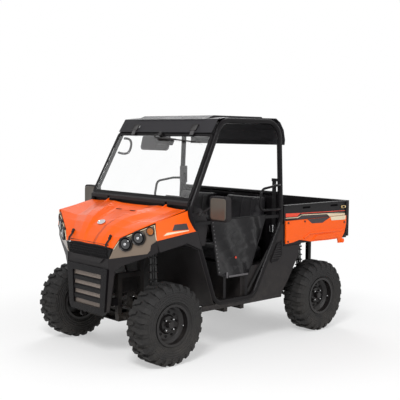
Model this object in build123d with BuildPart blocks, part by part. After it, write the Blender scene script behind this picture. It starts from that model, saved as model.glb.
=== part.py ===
from build123d import *
import os
from math import cos, hypot, radians, sin

# Side by side utility vehicle, millimetres. +Z is up, the front faces -Y, +X is the vehicle's left.
# The origin is on the ground, under the middle of the vehicle's box.

os.makedirs("parts", exist_ok=True)

# ---- Driving dimensions -----------------------------------------------------------------------
gap = 0.3                    # between pieces that seat on one another
running_gap = 6.0            # between pieces that move past one another

front_end = -1325.0          # foremost face, the bumper
rear_end = 1325.0            # rearmost face, the tailgate
front_axle_y = -1000.0
rear_axle_y = 854.0

tyre_radius = 330.0          # at the lug tips
lug_count = 24               # in each of the two rows
lug_width = 40.0
track_half = 635.0           # wheel centre from the vehicle's centre plane
rim_radius = 171.5           # over the flanges
bead_radius = 155.0
rim_width = 196.0            # over the flanges
rim_wall = 4.0
hub_radius = 40.0
spindle_radius = 14.0
spindle_clearance = 0.3
wheel_stud_circle = 110.0
wheel_stud_count = 4

rail_x = 230.0               # frame rail from the centre plane
rail_size = 50.0
rail_bottom = 310.0
member_size = 40.0           # square cross members and posts
skid_thickness = 5.0
floor_z = 385.0              # underside of the floor
panel_thickness = 5.0

ring_radius = 24.0           # cage tube
ring_x_low = 676.0           # ring tube below the shoulder line
ring_x_high = 636.0          # ring tube at roof level
shoulder_z = 1250.0          # above here the rings lean inwards
roof_bar_z = 1965.0
pillar_y = 325.0             # rear pillar of the cage
ring_bottom_z = 432.0

bed_half = 686.0             # steel side wall of the bed, outer face
bed_front = 358.0
bed_rear = 1286.0
bed_floor_z = 850.0          # underside of the bed floor
bed_floor_thickness = 6.0
bed_top = 1213.0
bed_wall = 20.0
bed_panel_thickness = 14.0
bed_hinge_y = 1215.0
bed_hinge_z = 822.0
bed_pin_radius = 9.0
tailgate_thickness = 27.0
tailgate_bottom = 862.0
tailgate_hinge_y = rear_end - 9.0
tailgate_hinge_z = 878.0
tailgate_hinge_x = 560.0
tailgate_pin_radius = 5.0

hood_hinge_y = -797.0
hood_hinge_z = 1254.0
hood_hinge_x = 400.0
hood_pin_radius = 5.0
hood_skin = 9.0

kingpin_x = 550.0
kingpin_radius = 32.0
knuckle_low = 250.0
knuckle_high = 410.0
steer_arm_front = 85.0       # tie rod joint ahead of the kingpin
steer_arm_z = 352.0
arm_inner_x = 275.0
arm_spread = 130.0           # half distance between an arm's inner pivots
arm_tube = 15.0

seat_x = 320.0
seat_width = 500.0
steering_x = 350.0
steering_wheel_radius = 175.0
steering_hub_y = -455.0
steering_hub_z = 1085.0
steering_tilt = 35.0         # column above the horizontal

hitch_bore = 51.0            # square receiver, inside
hitch_wall = 6.0
hitch_z = 420.0
hitch_pin_radius = 8.1

pieces = {}


def finish(builder, name):
    """Label a finished piece and keep it for export."""
    builder.part.label = name
    pieces[name] = builder.part


def block(x, y, z, mode=Mode.ADD):
    """A box from its (low, high) pairs."""
    with Locations(((x[0] + x[1]) / 2, (y[0] + y[1]) / 2, (z[0] + z[1]) / 2)):
        Box(x[1] - x[0], y[1] - y[0], z[1] - z[0], mode=mode)


def block_pair(x, y, z, mode=Mode.ADD):
    """The same box on both sides of the centre plane."""
    block(x, y, z, mode)
    block((-x[1], -x[0]), y, z, mode)


def slab_x(outline, x, mode=Mode.ADD):
    """A (y, z) outline with thickness along X."""
    with BuildSketch(Plane.YZ.offset(x[0])) as outline_face:
        with BuildLine():
            Polyline(*outline, close=True)
        make_face()
    extrude(outline_face.sketch, amount=x[1] - x[0], mode=mode)


def slab_y(outline, y, mode=Mode.ADD):
    """An (x, z) outline with thickness along Y."""
    with BuildSketch(Plane.XZ.offset(-y[1])) as outline_face:
        with BuildLine():
            Polyline(*outline, close=True)
        make_face()
    extrude(outline_face.sketch, amount=y[1] - y[0], mode=mode)


def rod(start, end, radius, mode=Mode.ADD):
    """A round bar between two points."""
    run = Vector(end) - Vector(start)
    with BuildSketch(Plane(origin=start, z_dir=run)) as section:
        Circle(radius)
    extrude(section.sketch, amount=run.length, mode=mode)


def bent_tube(points, bends, radius, mode=Mode.ADD):
    """A round tube along straight runs joined by bends."""
    with BuildLine() as path:
        FilletPolyline(*points, radius=bends)
    with BuildSketch(Plane(origin=path.line @ 0, z_dir=path.line % 0)) as section:
        Circle(radius)
    sweep(section.sketch, path=path.line, mode=mode)


def mirrored(source, name):
    """The right-hand copy of a left-hand piece."""
    with BuildPart() as copy:
        mirror(source.part, about=Plane.YZ)
    finish(copy, name)


# ---- Cage -------------------------------------------------------------------------------------
# Ring round a door opening, clockwise from the foot of the windscreen pillar: y, z, bend radius
ring_table = [
    (-790.0, 1222.0, 150.0),
    (-406.0, roof_bar_z, 150.0),
    (pillar_y, roof_bar_z, 155.0),
    (pillar_y - 3, 1060.0, 180.0),
    (-35.0, ring_bottom_z, 110.0),
    (-495.0, ring_bottom_z, 110.0),
]


def ring_x(z):
    """Ring tube centre from the centre plane at a height."""
    lean = (ring_x_low - ring_x_high) / (roof_bar_z - shoulder_z)
    return ring_x_low - lean * max(0.0, z - shoulder_z)


def ring(radius, mode=Mode.ADD):
    """The left ring: a lower and an upper tube that meet on two straight stretches."""
    corners = [(ring_x(z), y, z) for y, z, bend in ring_table]
    bends = [bend for y, z, bend in ring_table]
    front = tuple((a + b) / 2 for a, b in zip(corners[5], corners[0]))
    rear = tuple((a + b) / 2 for a, b in zip(corners[2], corners[3]))
    bent_tube([front] + corners[:3] + [rear], bends[:3], radius, mode)
    bent_tube([rear] + corners[3:] + [front], bends[3:], radius, mode)


with BuildPart() as cage_left:
    ring(ring_radius)
finish(cage_left, "cage_left")
mirrored(cage_left, "cage_right")

# ---- Cage cross tubes and cab back ------------------------------------------------------------
cross_radius = 19.0
head_bar_z = 1320.0
cross_table = [             # y, z of the straight cross tubes
    (-330.0, roof_bar_z),
    (60.0, roof_bar_z),
    (pillar_y, head_bar_z),
]
back_panel_bottom = 700.0
back_panel_half = 640.0
with BuildPart() as ring_space:
    ring(ring_radius + gap)
    mirror(about=Plane.YZ)

with BuildPart() as cage_cross:
    for y, z in cross_table:
        rod((-ring_x(z), y, z), (ring_x(z), y, z), cross_radius)
    block((-back_panel_half, back_panel_half), (pillar_y - 2, pillar_y + 2),
          (back_panel_bottom, head_bar_z))
    add(ring_space.part, mode=Mode.SUBTRACT)
finish(cage_cross, "cage_cross")

# ---- Roof -------------------------------------------------------------------------------------
# Side outline of the outer skin, front lip to rear lip: y, z
roof_outline = [
    (-514.0, 1863.0), (-438.0, 1980.0), (-300.0, 1995.5), (290.0, 1995.3),
    (347.0, 1960.0), (395.0, 1893.0), (416.0, 1803.0), (410.0, 1757.0),
]
roof_half = 632.0
roof_skin = 6.0
roof_crown_half = 470.0
roof_crown_rise = 16.0
roof_clip_x = 400.0
with BuildPart() as roof:
    with BuildSketch(Plane.YZ.offset(-roof_half)) as roof_side:
        with BuildLine() as roof_line:
            Polyline(*roof_outline)
            inner = [(y, z - roof_skin) for y, z in roof_outline]
            inner[0] = (roof_outline[0][0] + roof_skin, roof_outline[0][1])
            inner[1] = (roof_outline[1][0] + roof_skin * 0.6, roof_outline[1][1] - roof_skin)
            inner[4:] = [(y - roof_skin, z - roof_skin * 0.5) for y, z in roof_outline[4:]]
            inner[-1] = (roof_outline[-1][0] - roof_skin, roof_outline[-1][1])
            Polyline(roof_outline[-1], *reversed(inner), roof_outline[0])
        make_face()
    extrude(amount=2 * roof_half)
    crown = [(-448, 1972), (-330, 1996 + roof_crown_rise), (270, 1994 + roof_crown_rise),
             (352, 1952), (300, 1990), (-300, 1990)]
    slab_x(crown, (-roof_crown_half, roof_crown_half))
    # Notches in the front lip for the screen's clips, and grooves along the crown
    block_pair((roof_clip_x - 45, roof_clip_x + 45), (-520, -470), (1903, 1940), Mode.SUBTRACT)
    for x in (-300, -100, 100, 300):
        block((x - 9, x + 9), (-250, 230), (1999, 2013), Mode.SUBTRACT)
    add(ring_space.part, mode=Mode.SUBTRACT)
finish(roof, "roof")

# ---- Windscreen -------------------------------------------------------------------------------
# The glass lies in one plane ahead of the pillars: its foot and its head, y and z
glass_foot = (-777.1, 1300.0)
glass_head = (-492.9, 1850.0)
glass_low_half = 676.0
glass_high_half = 646.0
glass_thickness = 5.0
screen_frame_width = 28.0
screen_frame_depth = 12.0
screen_run = hypot(glass_head[0] - glass_foot[0], glass_head[1] - glass_foot[1])
screen_plane = Plane(
    origin=(0, glass_foot[0], glass_foot[1]), x_dir=(1, 0, 0),
    z_dir=(0, -(glass_head[1] - glass_foot[1]), glass_head[0] - glass_foot[0]),
)


def screen_quad(inset):
    """The screen's four corners drawn in by a margin."""
    low, high = glass_low_half - inset, glass_high_half - inset
    return [(-low, inset), (low, inset), (high, screen_run - inset), (-high, screen_run - inset)]


with BuildPart() as windshield_frame:
    with BuildSketch(screen_plane) as border:
        with BuildLine():
            Polyline(*screen_quad(0), close=True)
        make_face()
        fillet(border.vertices(), 30)
        with BuildLine(mode=Mode.PRIVATE) as opening_line:
            Polyline(*screen_quad(screen_frame_width), close=True)
        make_face(opening_line.edges(), mode=Mode.SUBTRACT)
    extrude(amount=screen_frame_depth)
finish(windshield_frame, "windshield_frame")

with BuildPart() as windshield_glass:
    with BuildSketch(screen_plane.offset(3)):
        with BuildLine():
            Polyline(*screen_quad(screen_frame_width + gap), close=True)
        make_face()
    extrude(amount=glass_thickness)
finish(windshield_glass, "windshield_glass")

# ---- Frame ------------------------------------------------------------------------------------
floor_half = ring_x_low - ring_radius - gap
side_panel_out = 690.0
side_panel_in = side_panel_out - 6.0
rail_low, rail_high = rail_bottom, rail_bottom + rail_size
rail_in, rail_out = rail_x - rail_size / 2, rail_x + rail_size / 2
member_y = [-1085.0, -940.0, -600.0, -80.0, 400.0, 620.0, 854.0, 1080.0, 1195.0]
outrigger_y = [-370.0, -170.0]
rail_front, rail_rear = -1180.0, 1235.0
front_tower_y = -930.0
front_tower_z = 900.0
rear_tower_y = 905.0
bed_rail_z = bed_floor_z - gap           # top of the sub-frame that the bed rests on
bed_rail_front = 372.0
shock_top_x_front = 385.0
shock_top_x_rear = 390.0
upper_pivot_ahead = 42.0                 # upper arm pivot ahead of the axle
upper_pivot_z = 520.0
silencer = (1080.0, 600.0, 65.0)         # y, z, radius
cradle_x = 95.0
half_member = member_size / 2
with BuildPart() as frame:
    block_pair((rail_in, rail_out), (rail_front, rail_rear), (rail_low, rail_high))
    for y in member_y:
        block((-rail_in, rail_in), (y - half_member, y + half_member), (rail_low, rail_high - 10))
    for y in outrigger_y:
        block_pair((rail_out, floor_half), (y - half_member, y + half_member),
                   (rail_high - 15, floor_z - gap))
        block_pair((floor_half, side_panel_in - gap), (y - half_member, y + half_member),
                   (rail_high - 15, ring_bottom_z - 6))
    # Front nose posts and the tower that carries the front shock absorbers
    block_pair((rail_in, rail_out - 10), (rail_front, rail_front + member_size), (rail_high, 700))
    block_pair((rail_in, rail_out - 10), (rail_front, front_tower_y), (660, 700))
    block_pair((rail_in, rail_out - 10), (front_tower_y - half_member, front_tower_y + half_member),
               (rail_high, front_tower_z))
    block((-shock_top_x_front - 25, shock_top_x_front + 25),
          (front_tower_y - half_member, front_tower_y + half_member),
          (front_tower_z, front_tower_z + 30))
    # Rear tower, its shock absorber bar, and the sub-frame under the bed
    block_pair((rail_out, rail_out + member_size), (rear_tower_y - half_member,
               rear_tower_y + half_member), (rail_low, bed_rail_z - 30))
    block_pair((rail_out, rail_out + member_size), (bed_rail_front, bed_hinge_y - 15),
               (bed_rail_z - 30, bed_rail_z))
    block_pair((rail_out, rail_out + member_size), (bed_rail_front, bed_rail_front + member_size),
               (rail_low, bed_rail_z - 30))
    block((-shock_top_x_rear - 25, shock_top_x_rear + 25),
          (rear_tower_y - half_member, rear_tower_y + half_member),
          (bed_rail_z - 60, bed_rail_z - 30))
    block_pair((rail_out, rail_out + member_size), (rail_rear - 45, rail_rear - 5),
               (rail_low, bed_hinge_z + 12))
    # Posts of the upper arms, and the cradle under the silencer
    for y in (front_axle_y - upper_pivot_ahead, rear_axle_y - upper_pivot_ahead):
        block_pair((rail_in, rail_out - 10), (y - 17, y + 17), (rail_high, upper_pivot_z + 25))
    block_pair((cradle_x - 15, cradle_x + 15), (silencer[0] - 15, silencer[0] + 15),
               (rail_high - 10, silencer[1] - silencer[2] - gap))
    # Bed hinge pins
    rod((-rail_out - 75, bed_hinge_y, bed_hinge_z), (rail_out + 75, bed_hinge_y, bed_hinge_z),
        bed_pin_radius)
    # Square hitch receiver
    hitch_half = hitch_bore / 2 + hitch_wall
    block((-hitch_half, hitch_half), (rail_rear - 200, 1300), (hitch_z - hitch_half, hitch_z + hitch_half))
    block((-hitch_bore / 2, hitch_bore / 2), (rail_rear - 190, 1300),
          (hitch_z - hitch_bore / 2, hitch_z + hitch_bore / 2), Mode.SUBTRACT)
    rod((-hitch_half, 1262, hitch_z), (hitch_half, 1262, hitch_z), hitch_pin_radius, Mode.SUBTRACT)
    block((-rail_in, rail_in), (rail_rear - 190, rail_rear - 150), (rail_high - 10, hitch_z - hitch_half))
    add(ring_space.part, mode=Mode.SUBTRACT)
finish(frame, "frame")

with BuildPart() as skid_plate:
    block((-rail_out, rail_out), (rail_front, 1100), (rail_low - gap - skid_thickness, rail_low - gap))
finish(skid_plate, "skid_plate")

with BuildPart() as engine_block:
    block((-190, 190), (340, 675), (rail_high - 10 + gap, 790))
    chamfer(engine_block.edges().filter_by(Axis.Z), 30)
finish(engine_block, "engine_block")

# ---- Floor and inner body ---------------------------------------------------------------------
toe_slope = 0.373                      # toe board and front pillar lean forward by this per mm up
toe_top = 918.0
riser_y = -160.0
riser_top = 700.0
floor_front = -500.0


def leaning(z, offset):
    """The Y of the toe board's line at a height, moved ahead by an offset."""
    return floor_front - toe_slope * (z - floor_z) - offset


with BuildPart() as floor_tub:
    t = panel_thickness
    slab_x([(riser_y, floor_z), (floor_front, floor_z), (leaning(toe_top, 0), toe_top),
            (leaning(toe_top, 0) + t, toe_top), (floor_front + t, floor_z + t),
            (riser_y - t, floor_z + t), (riser_y - t, riser_top), (pillar_y - 2 - gap, riser_top),
            (pillar_y - 2 - gap, riser_top - t), (riser_y, riser_top - t)], (-floor_half, floor_half))
    slab_x([(riser_y, floor_z), (riser_y, riser_top - t), (pillar_y - 2 - gap, riser_top - t),
            (150, 680), (-40, floor_z + 30), (-60, floor_z)], (floor_half - t, floor_half))
    mirror(about=Plane.YZ)
    add(ring_space.part, mode=Mode.SUBTRACT)
finish(floor_tub, "floor_tub")

liner_ahead = 9.0                      # front face ahead of the toe board's
with BuildPart() as arch_liners:
    t = panel_thickness
    under = [(leaning(400, liner_ahead), 400), (leaning(905, liner_ahead), 905), (-835, 962),
             (-1110, 920)]
    slab_x(under + [(-1110, 920 + t), (-835, 962 + t), (leaning(905, liner_ahead) + t, 905 + t),
                    (leaning(400, liner_ahead) + t, 400)], (430, side_panel_out - gap))
    mirror(about=Plane.YZ)
    add(ring_space.part, mode=Mode.SUBTRACT)
finish(arch_liners, "arch_liners")

# ---- Side panels: rear quarter and rocker in one ------------------------------------------------
quarter_outline = [
    (bed_front - 10, 1040.0), (bed_front - 10, 842.0), (575.0, 840.0), (556.0, 735.0),
    (488.0, 630.0), (408.0, 508.0), (350.0, 442.0), (343.0, 408.0), (-498.0, 396.0),
    (-505.0, 420.0), (-495.0, ring_bottom_z), (-35.0, ring_bottom_z), (pillar_y - 3, 1060.0),
]
with BuildPart() as side_panel_left:
    slab_x(quarter_outline, (side_panel_in, side_panel_out))
    add(ring_space.part, mode=Mode.SUBTRACT)
    # Intake grille: a raised frame round slots
    with BuildSketch(Plane.YZ.offset(side_panel_out)) as vent:
        with BuildLine():
            Polyline((205, 745), (325, 900), (335, 830), (290, 715), (190, 705), close=True)
        make_face()
    extrude(vent.sketch, amount=6)
    with BuildSketch(Plane.YZ.offset(side_panel_out + 6)) as slots:
        with Locations((282, 800)):
            with GridLocations(16, 30, 4, 3):
                SlotOverall(26, 8, rotation=70)
    extrude(slots.sketch, amount=-12, mode=Mode.SUBTRACT)
finish(side_panel_left, "side_panel_left")
mirrored(side_panel_left, "side_panel_right")

# ---- Front body -------------------------------------------------------------------------------
# Hood sections from the front edge back: y, then half width and height of six points from the
# centre outwards (valley centre, valley edge, ridge inside, ridge outside, ridge foot, edge)
hood_table = [
    (-1300.0, 0.0, 946.0, 60.0, 947.0, 90.0, 949.0, 150.0, 949.0, 240.0, 944.0, 335.0, 938.0),
    (-1270.0, 0.0, 1004.0, 64.0, 1005.0, 100.0, 1011.0, 170.0, 1013.0, 285.0, 1012.0, 385.0, 1026.0),
    (-1205.0, 0.0, 1076.0, 70.0, 1078.0, 120.0, 1092.0, 205.0, 1096.0, 350.0, 1090.0, 532.0, 1098.0),
    (-1140.0, 0.0, 1114.0, 80.0, 1116.0, 150.0, 1142.0, 245.0, 1144.0, 400.0, 1130.0, 668.0, 1163.0),
    (-1060.0, 0.0, 1140.0, 90.0, 1142.0, 185.0, 1180.0, 290.0, 1178.0, 430.0, 1152.0, 664.0, 1180.0),
    (-980.0, 0.0, 1166.0, 110.0, 1168.0, 220.0, 1206.0, 330.0, 1200.0, 470.0, 1176.0, 658.0, 1198.0),
    (-900.0, 0.0, 1192.0, 150.0, 1194.0, 262.0, 1226.0, 390.0, 1218.0, 505.0, 1204.0, 654.0, 1218.0),
    (-812.0, 0.0, 1236.0, 190.0, 1238.0, 300.0, 1248.0, 430.0, 1244.0, 540.0, 1236.0, 650.0, 1237.0),
]
with BuildPart() as hood:
    for first, second in zip(hood_table, hood_table[1:]):
        bands = []
        for y, *flat in (first, second):
            right = list(zip(flat[0::2], flat[1::2]))
            top = [(-x, z) for x, z in reversed(right[1:])] + right
            under = [(x, z - hood_skin) for x, z in reversed(top)]
            with BuildSketch(Plane.XZ.offset(-y)) as band:
                with BuildLine():
                    Polyline(*top, *under, close=True)
                make_face()
            bands.append(band.sketch)
        loft(bands, ruled=True)
    # Hinge tabs that reach back to the pin
    for side in (-1, 1):
        x = side * hood_hinge_x
        slab_x([(-846, 1228), (-846, 1236), (hood_hinge_y - 4, hood_hinge_z + 8),
                (hood_hinge_y, hood_hinge_z - 8), (-812, 1232)], (x - 9, x + 9))
        rod((x - 9, hood_hinge_y, hood_hinge_z), (x + 9, hood_hinge_y, hood_hinge_z), 8)
        rod((x - 10, hood_hinge_y, hood_hinge_z), (x + 10, hood_hinge_y, hood_hinge_z),
            hood_pin_radius + gap, Mode.SUBTRACT)
finish(hood, "hood")

# Side fenders: y, then bottom and top half width and height
fender_skin = 6.0
fender_front = (-1145.0, 700.0, 1016.0, 684.0, 1158.0)
fender_rear = (-735.0, 700.0, 1062.0, 661.0, 1240.0)
behind_ring = [(-495, ring_bottom_z), (-790, 1222), (-790, 1400), (-300, 1400), (-300, ring_bottom_z)]


def fender_low(y):
    """Height of the fender's lower edge at a place along it."""
    slope = (fender_rear[2] - fender_front[2]) / (fender_rear[0] - fender_front[0])
    return fender_front[2] + slope * (y - fender_front[0])


with BuildPart() as fender_left:
    quads = []
    for y, low_x, low_z, high_x, high_z in (fender_front, fender_rear):
        with BuildSketch(Plane.XZ.offset(-y)) as quad:
            with BuildLine():
                Polyline((low_x, low_z), (high_x, high_z), (high_x - fender_skin, high_z),
                         (low_x - fender_skin, low_z), close=True)
            make_face()
        quads.append(quad.sketch)
    loft(quads, ruled=True)
    slab_x(behind_ring, (600, 720), Mode.SUBTRACT)
    add(ring_space.part, mode=Mode.SUBTRACT)
finish(fender_left, "fender_left")
mirrored(fender_left, "fender_right")

# The lamp panels and the wings below them stand on one upright plane that sweeps back
sweep_x, sweep_y = 390.0, 170.0
sweep_length = hypot(sweep_x, sweep_y)
wing_origin = (300.0, -1310.0, 0.0)
wing_plane = Plane(origin=wing_origin, x_dir=(sweep_x, sweep_y, 0), z_dir=(sweep_y, -sweep_x, 0))


def along(x):
    """Distance along the wing plane of a place given by its X."""
    return (x - wing_origin[0]) * sweep_length / sweep_x


def wing_slab(outline, high, thickness):
    """An (x, z) outline on the wing plane, its face at a height off the plane."""
    with BuildSketch(wing_plane.offset(high - thickness)) as flat:
        with BuildLine():
            Polyline(*[(along(x), z) for x, z in outline], close=True)
        make_face()
    extrude(flat.sketch, amount=thickness)


lamp_table = [               # x, z and radius of each lamp on the wing plane
    (439.0, 974.0, 46.0),
    (545.0, 1029.0, 46.0),
]
turn_lamp = (638.0, 1088.0, 30.0)
lamp_low_line = [(690.0, 1016.0), (643.0, 981.0), (636.0, 938.0), (612.0, 907.0), (296.0, 842.0)]
lamp_outline = lamp_low_line + [(334.0, 922.0), (388.0, 1004.0), (532.0, 1076.0), (674.0, 1140.0)]
panel_skin = 8.0
with BuildPart() as lamp_panel:
    wing_slab(lamp_outline, 0, panel_skin)
    for x, z, radius in lamp_table + [turn_lamp]:
        with BuildSketch(wing_plane) as hole:
            with Locations((along(x), z)):
                Circle(radius + gap)
        extrude(hole.sketch, amount=-2 * panel_skin, mode=Mode.SUBTRACT)
with BuildPart() as lamp_panels:
    add(lamp_panel.part)
    mirror(about=Plane.YZ)
finish(lamp_panels, "lamp_panels")

with BuildPart() as headlamps:
    for x, z, radius in lamp_table:
        with BuildSketch(wing_plane.offset(-60)) as body:
            with Locations((along(x), z)):
                Circle(radius)
        extrude(body.sketch, amount=66)
        with BuildSketch(wing_plane.offset(6)) as lens:
            with Locations((along(x), z)):
                Circle(radius * 0.74)
        extrude(lens.sketch, amount=6, taper=35)
    mirror(about=Plane.YZ)
finish(headlamps, "headlamps")

with BuildPart() as turn_lamps:
    x, z, radius = turn_lamp
    with BuildSketch(wing_plane.offset(-30)) as body:
        with Locations((along(x), z)):
            Circle(radius)
    extrude(body.sketch, amount=36)
    mirror(about=Plane.YZ)
finish(turn_lamps, "turn_lamps")

# Wheel flares, wings and chin
flare_outline = [(-1147, fender_low(-1147) - gap), (-1120, 925), (-835, 972), (-675, 905),
                 (-722, fender_low(-722) - gap)]
bumper_half = 288.0
bumper_half_low = 250.0
bumper_top = 756.0
bumper_low = 400.0
leg_front_top = bumper_half + 9.5
leg_front_low = bumper_half_low + 9.5
leg_back_top = 343.0
leg_back_low = 284.0
leg_join = bumper_top - 12
wing_outline = [(x + gap, z - gap) for x, z in lamp_low_line] + [
    (bumper_half, 838.0), (bumper_half, bumper_top + gap), (leg_front_top, bumper_top + gap),
    (leg_front_top, leg_join), (leg_back_top, leg_join), (392.0, 788.0), (492.0, 831.0), (569.0, 861.0),
    (644.0, 896.0), (700.0, 925.0),
]
chin_y = -1300.0


def leg_section(front_x, back_x, z):
    """A level section of the wing's leg, which sweeps back from beside the bumper."""
    front_y = chin_y - 10
    back_y = front_y + (back_x - front_x) * sweep_y / sweep_x
    with BuildSketch(Plane.XY.offset(z)) as section:
        with BuildLine():
            Polyline((front_x, front_y), (back_x, back_y), (back_x, back_y + leg_skin),
                     (front_x, front_y + leg_skin), close=True)
        make_face()
    return section.sketch


leg_skin = 7.0
with BuildPart() as fascia:
    slab_x(flare_outline, (side_panel_out, side_panel_out + 12))
    block((430, side_panel_out), (-1118, -1108), (926, 950))
    wing_slab(wing_outline, 0, panel_skin)
    loft([leg_section(leg_front_low, leg_back_low, bumper_low),
          leg_section(leg_front_top, leg_back_top, leg_join + 6)], ruled=True)
    add(ring_space.part, mode=Mode.SUBTRACT)
    mirror(about=Plane.YZ)
    block((-bumper_half, bumper_half), (chin_y - 10, chin_y), (bumper_top + gap, 838))
    # Raised lip across the chin
    slab_y([(-236, 836), (236, 836), (186, 796), (-186, 796)], (chin_y - 22, chin_y - 10))
finish(fascia, "fascia")

bumper_side = [(bumper_half, bumper_top), (bumper_half_low, bumper_low), (222.0, 368.0)]
bumper_outer = bumper_side + [(-x, z) for x, z in reversed(bumper_side)]
bumper_inner = [(-203.0, 700.0), (203.0, 700.0), (187.0, 424.0), (-187.0, 424.0)]
with BuildPart() as bumper:
    slab_y(bumper_outer, (front_end, chin_y + 10))
    slab_y(bumper_inner, (front_end, chin_y + 10), Mode.SUBTRACT)
    block_pair((rail_in, rail_out - 10), (chin_y + 10, rail_front - gap), (440, 500))
    with BuildSketch(Plane.YZ.offset(-100)) as hook:
        with Locations((-1285, 345)):
            Circle(32)
            Circle(16, mode=Mode.SUBTRACT)
    extrude(hook.sketch, amount=16)
    block((-100, -84), (-1300, -1180 - gap), (355, 375))
    block((-100, -84), (-1300, -1290), (355, 380))
finish(bumper, "bumper")

slat_z = [466.0, 545.0, 624.0]
slat_height = 38.0
mesh_y = chin_y - 4
with BuildPart() as grille:
    slab_y([(-202.6, 699.7), (202.6, 699.7), (186.7, 424.3), (-186.7, 424.3)], (mesh_y, mesh_y + 6))
    for z in slat_z:
        slab_x([(mesh_y, z), (mesh_y - 14, z - 5), (mesh_y - 16, z + slat_height - 12),
                (mesh_y, z + slat_height)], (-187, 187))
    slab_y([(-286, 838.3), (286, 838.3), (322, 922), (-322, 922)], (chin_y - 6, chin_y))
finish(grille, "grille")

cowl_low = 1266.0
cowl_front = -806.0
cowl_half = 664.0
screen_up = screen_plane.y_dir * -gap
cowl_back_top = Vector(0, *glass_foot) + screen_up
cowl_front_top = cowl_back_top + screen_plane.z_dir * screen_frame_depth
with BuildPart() as cowl:
    slab_x([(-768, cowl_low), (cowl_front, cowl_low), (cowl_front, 1292),
            (cowl_front_top.Y, cowl_front_top.Z), (cowl_back_top.Y, cowl_back_top.Z), (-768, 1290)],
           (-cowl_half, cowl_half))
    add(ring_space.part, mode=Mode.SUBTRACT)
    # Hood hinges: cheeks on each side of a notch, and the pin
    for side in (-1, 1):
        x = side * hood_hinge_x
        block((x - 15, x + 15), (cowl_front - 1, -785), (cowl_low - 1, 1285), Mode.SUBTRACT)
        for low, high in ((x - 20, x - 15), (x + 15, x + 20)):
            rod((low, hood_hinge_y, hood_hinge_z), (high, hood_hinge_y, hood_hinge_z), 9)
            block((low, high), (hood_hinge_y - 9, hood_hinge_y + 9), (hood_hinge_z, cowl_low + 2))
        rod((x - 20, hood_hinge_y, hood_hinge_z), (x + 20, hood_hinge_y, hood_hinge_z),
            hood_pin_radius)
finish(cowl, "cowl")

column_axis = Vector(0, cos(radians(steering_tilt)), sin(radians(steering_tilt)))
hub = Vector(steering_x, steering_hub_y, steering_hub_z)
column_radius = 20.0
boss_length = 34.0
boss_end = 4.0                         # wheel boss stops short of the rim's plane
column_head = hub - column_axis * (boss_length + boss_end + gap)
column_foot = hub - column_axis * 150
with BuildPart() as dash:
    slab_x([(-766, 1262), (-640, 1238), (-585, 1180), (-560, 1080), (-590, 930), (-700, 920),
            (-755, 1000)], (-floor_half, floor_half))
    add(ring_space.part, mode=Mode.SUBTRACT)
    rod(column_foot, column_head, column_radius + gap, Mode.SUBTRACT)
finish(dash, "dash")

# ---- Seats, nets, guards, belts ---------------------------------------------------------------
cushion_z = (riser_top + gap, riser_top + 150)
with BuildPart() as seat_cushions:
    block_pair((seat_x - seat_width / 2, seat_x + seat_width / 2), (-185, 250), cushion_z)
    fillet(seat_cushions.edges(), 25)
finish(seat_cushions, "seat_cushions")

with BuildPart() as seat_backs:
    slab_x([(140, cushion_z[1] + gap), (255, cushion_z[1] + gap), (305, 1330), (225, 1330)],
           (seat_x - seat_width / 2, seat_x + seat_width / 2))
    fillet(seat_backs.edges(), 25)
    mirror(about=Plane.YZ)
finish(seat_backs, "seat_backs")

guard_radius = 11.0
guard_x = 712.0
guard_points = [
    (ring_x(1402), pillar_y, 1402), (guard_x, 240, 1402), (guard_x, 30, 1375),
    (guard_x, -10, 1190), (guard_x, 240, 1185), (ring_x(1185), pillar_y, 1185),
]
with BuildPart() as shoulder_guards:
    bent_tube(guard_points, [40, 60, 60, 40], guard_radius)
    add(ring_space.part, mode=Mode.SUBTRACT)
    mirror(about=Plane.YZ)
finish(shoulder_guards, "shoulder_guards")

net_outline = [(-546, 1133), (-458, 672), (-362, 636), (-93, 631), (127, 1141)]
ring_seat = ring_radius + gap


def front_leg(z):
    """The Y of the ring's front leg at a height."""
    foot_y, foot_z, bend = ring_table[5]
    head_y, head_z, bend = ring_table[0]
    return foot_y + (head_y - foot_y) * (z - foot_z) / (head_z - foot_z)


leg_seat = ring_seat * hypot(1, toe_slope) + 0.1       # measured along Y across the slanted leg
net_straps = [               # outlines, y and z
    [(front_leg(1130) + leg_seat, 1130), (-540, 1130), (-540, 1100), (front_leg(1100) + leg_seat, 1100)],
    [(100, 1135), (pillar_y - 3 - ring_seat, 1135), (pillar_y - 3 - ring_seat, 1105), (100, 1105)],
    [(-395, 650), (-365, 650), (-365, ring_bottom_z + ring_seat), (-395, ring_bottom_z + ring_seat)],
    [(-125, 650), (-105, 650), (-105, ring_bottom_z + ring_seat), (-125, ring_bottom_z + ring_seat)],
]
net_x = (ring_x_low - 2, ring_x_low + 2)
with BuildPart() as door_nets:
    for outline in [net_outline] + net_straps:
        slab_x(outline, net_x)
    mirror(about=Plane.YZ)
finish(door_nets, "door_nets")

belt_x = 585.0
belt_face = pillar_y - cross_radius - gap
with BuildPart() as seat_belts:
    block((belt_x, belt_x + 48), (belt_face - 3, belt_face), (930, 1450))
    block((belt_x, ring_x(1450)), (belt_face - 12, belt_face), (1430, 1456))
    add(ring_space.part, mode=Mode.SUBTRACT)
    mirror(about=Plane.YZ)
finish(seat_belts, "seat_belts")

# ---- Mirrors ----------------------------------------------------------------------------------
with BuildPart() as mirrors:
    block((775, 980), (-665, -615), (1150, 1352))
    fillet(mirrors.edges().filter_by(Axis.Y), 28)
    fillet(mirrors.faces().sort_by(Axis.Y)[0].edges(), 10)
    rod((698, -700, 1196), (850, -640, 1290), 8)
    block((688, 700), (-780, -690), (1180, 1212))
    add(ring_space.part, mode=Mode.SUBTRACT)
    mirror(about=Plane.YZ)
finish(mirrors, "mirrors")

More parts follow.
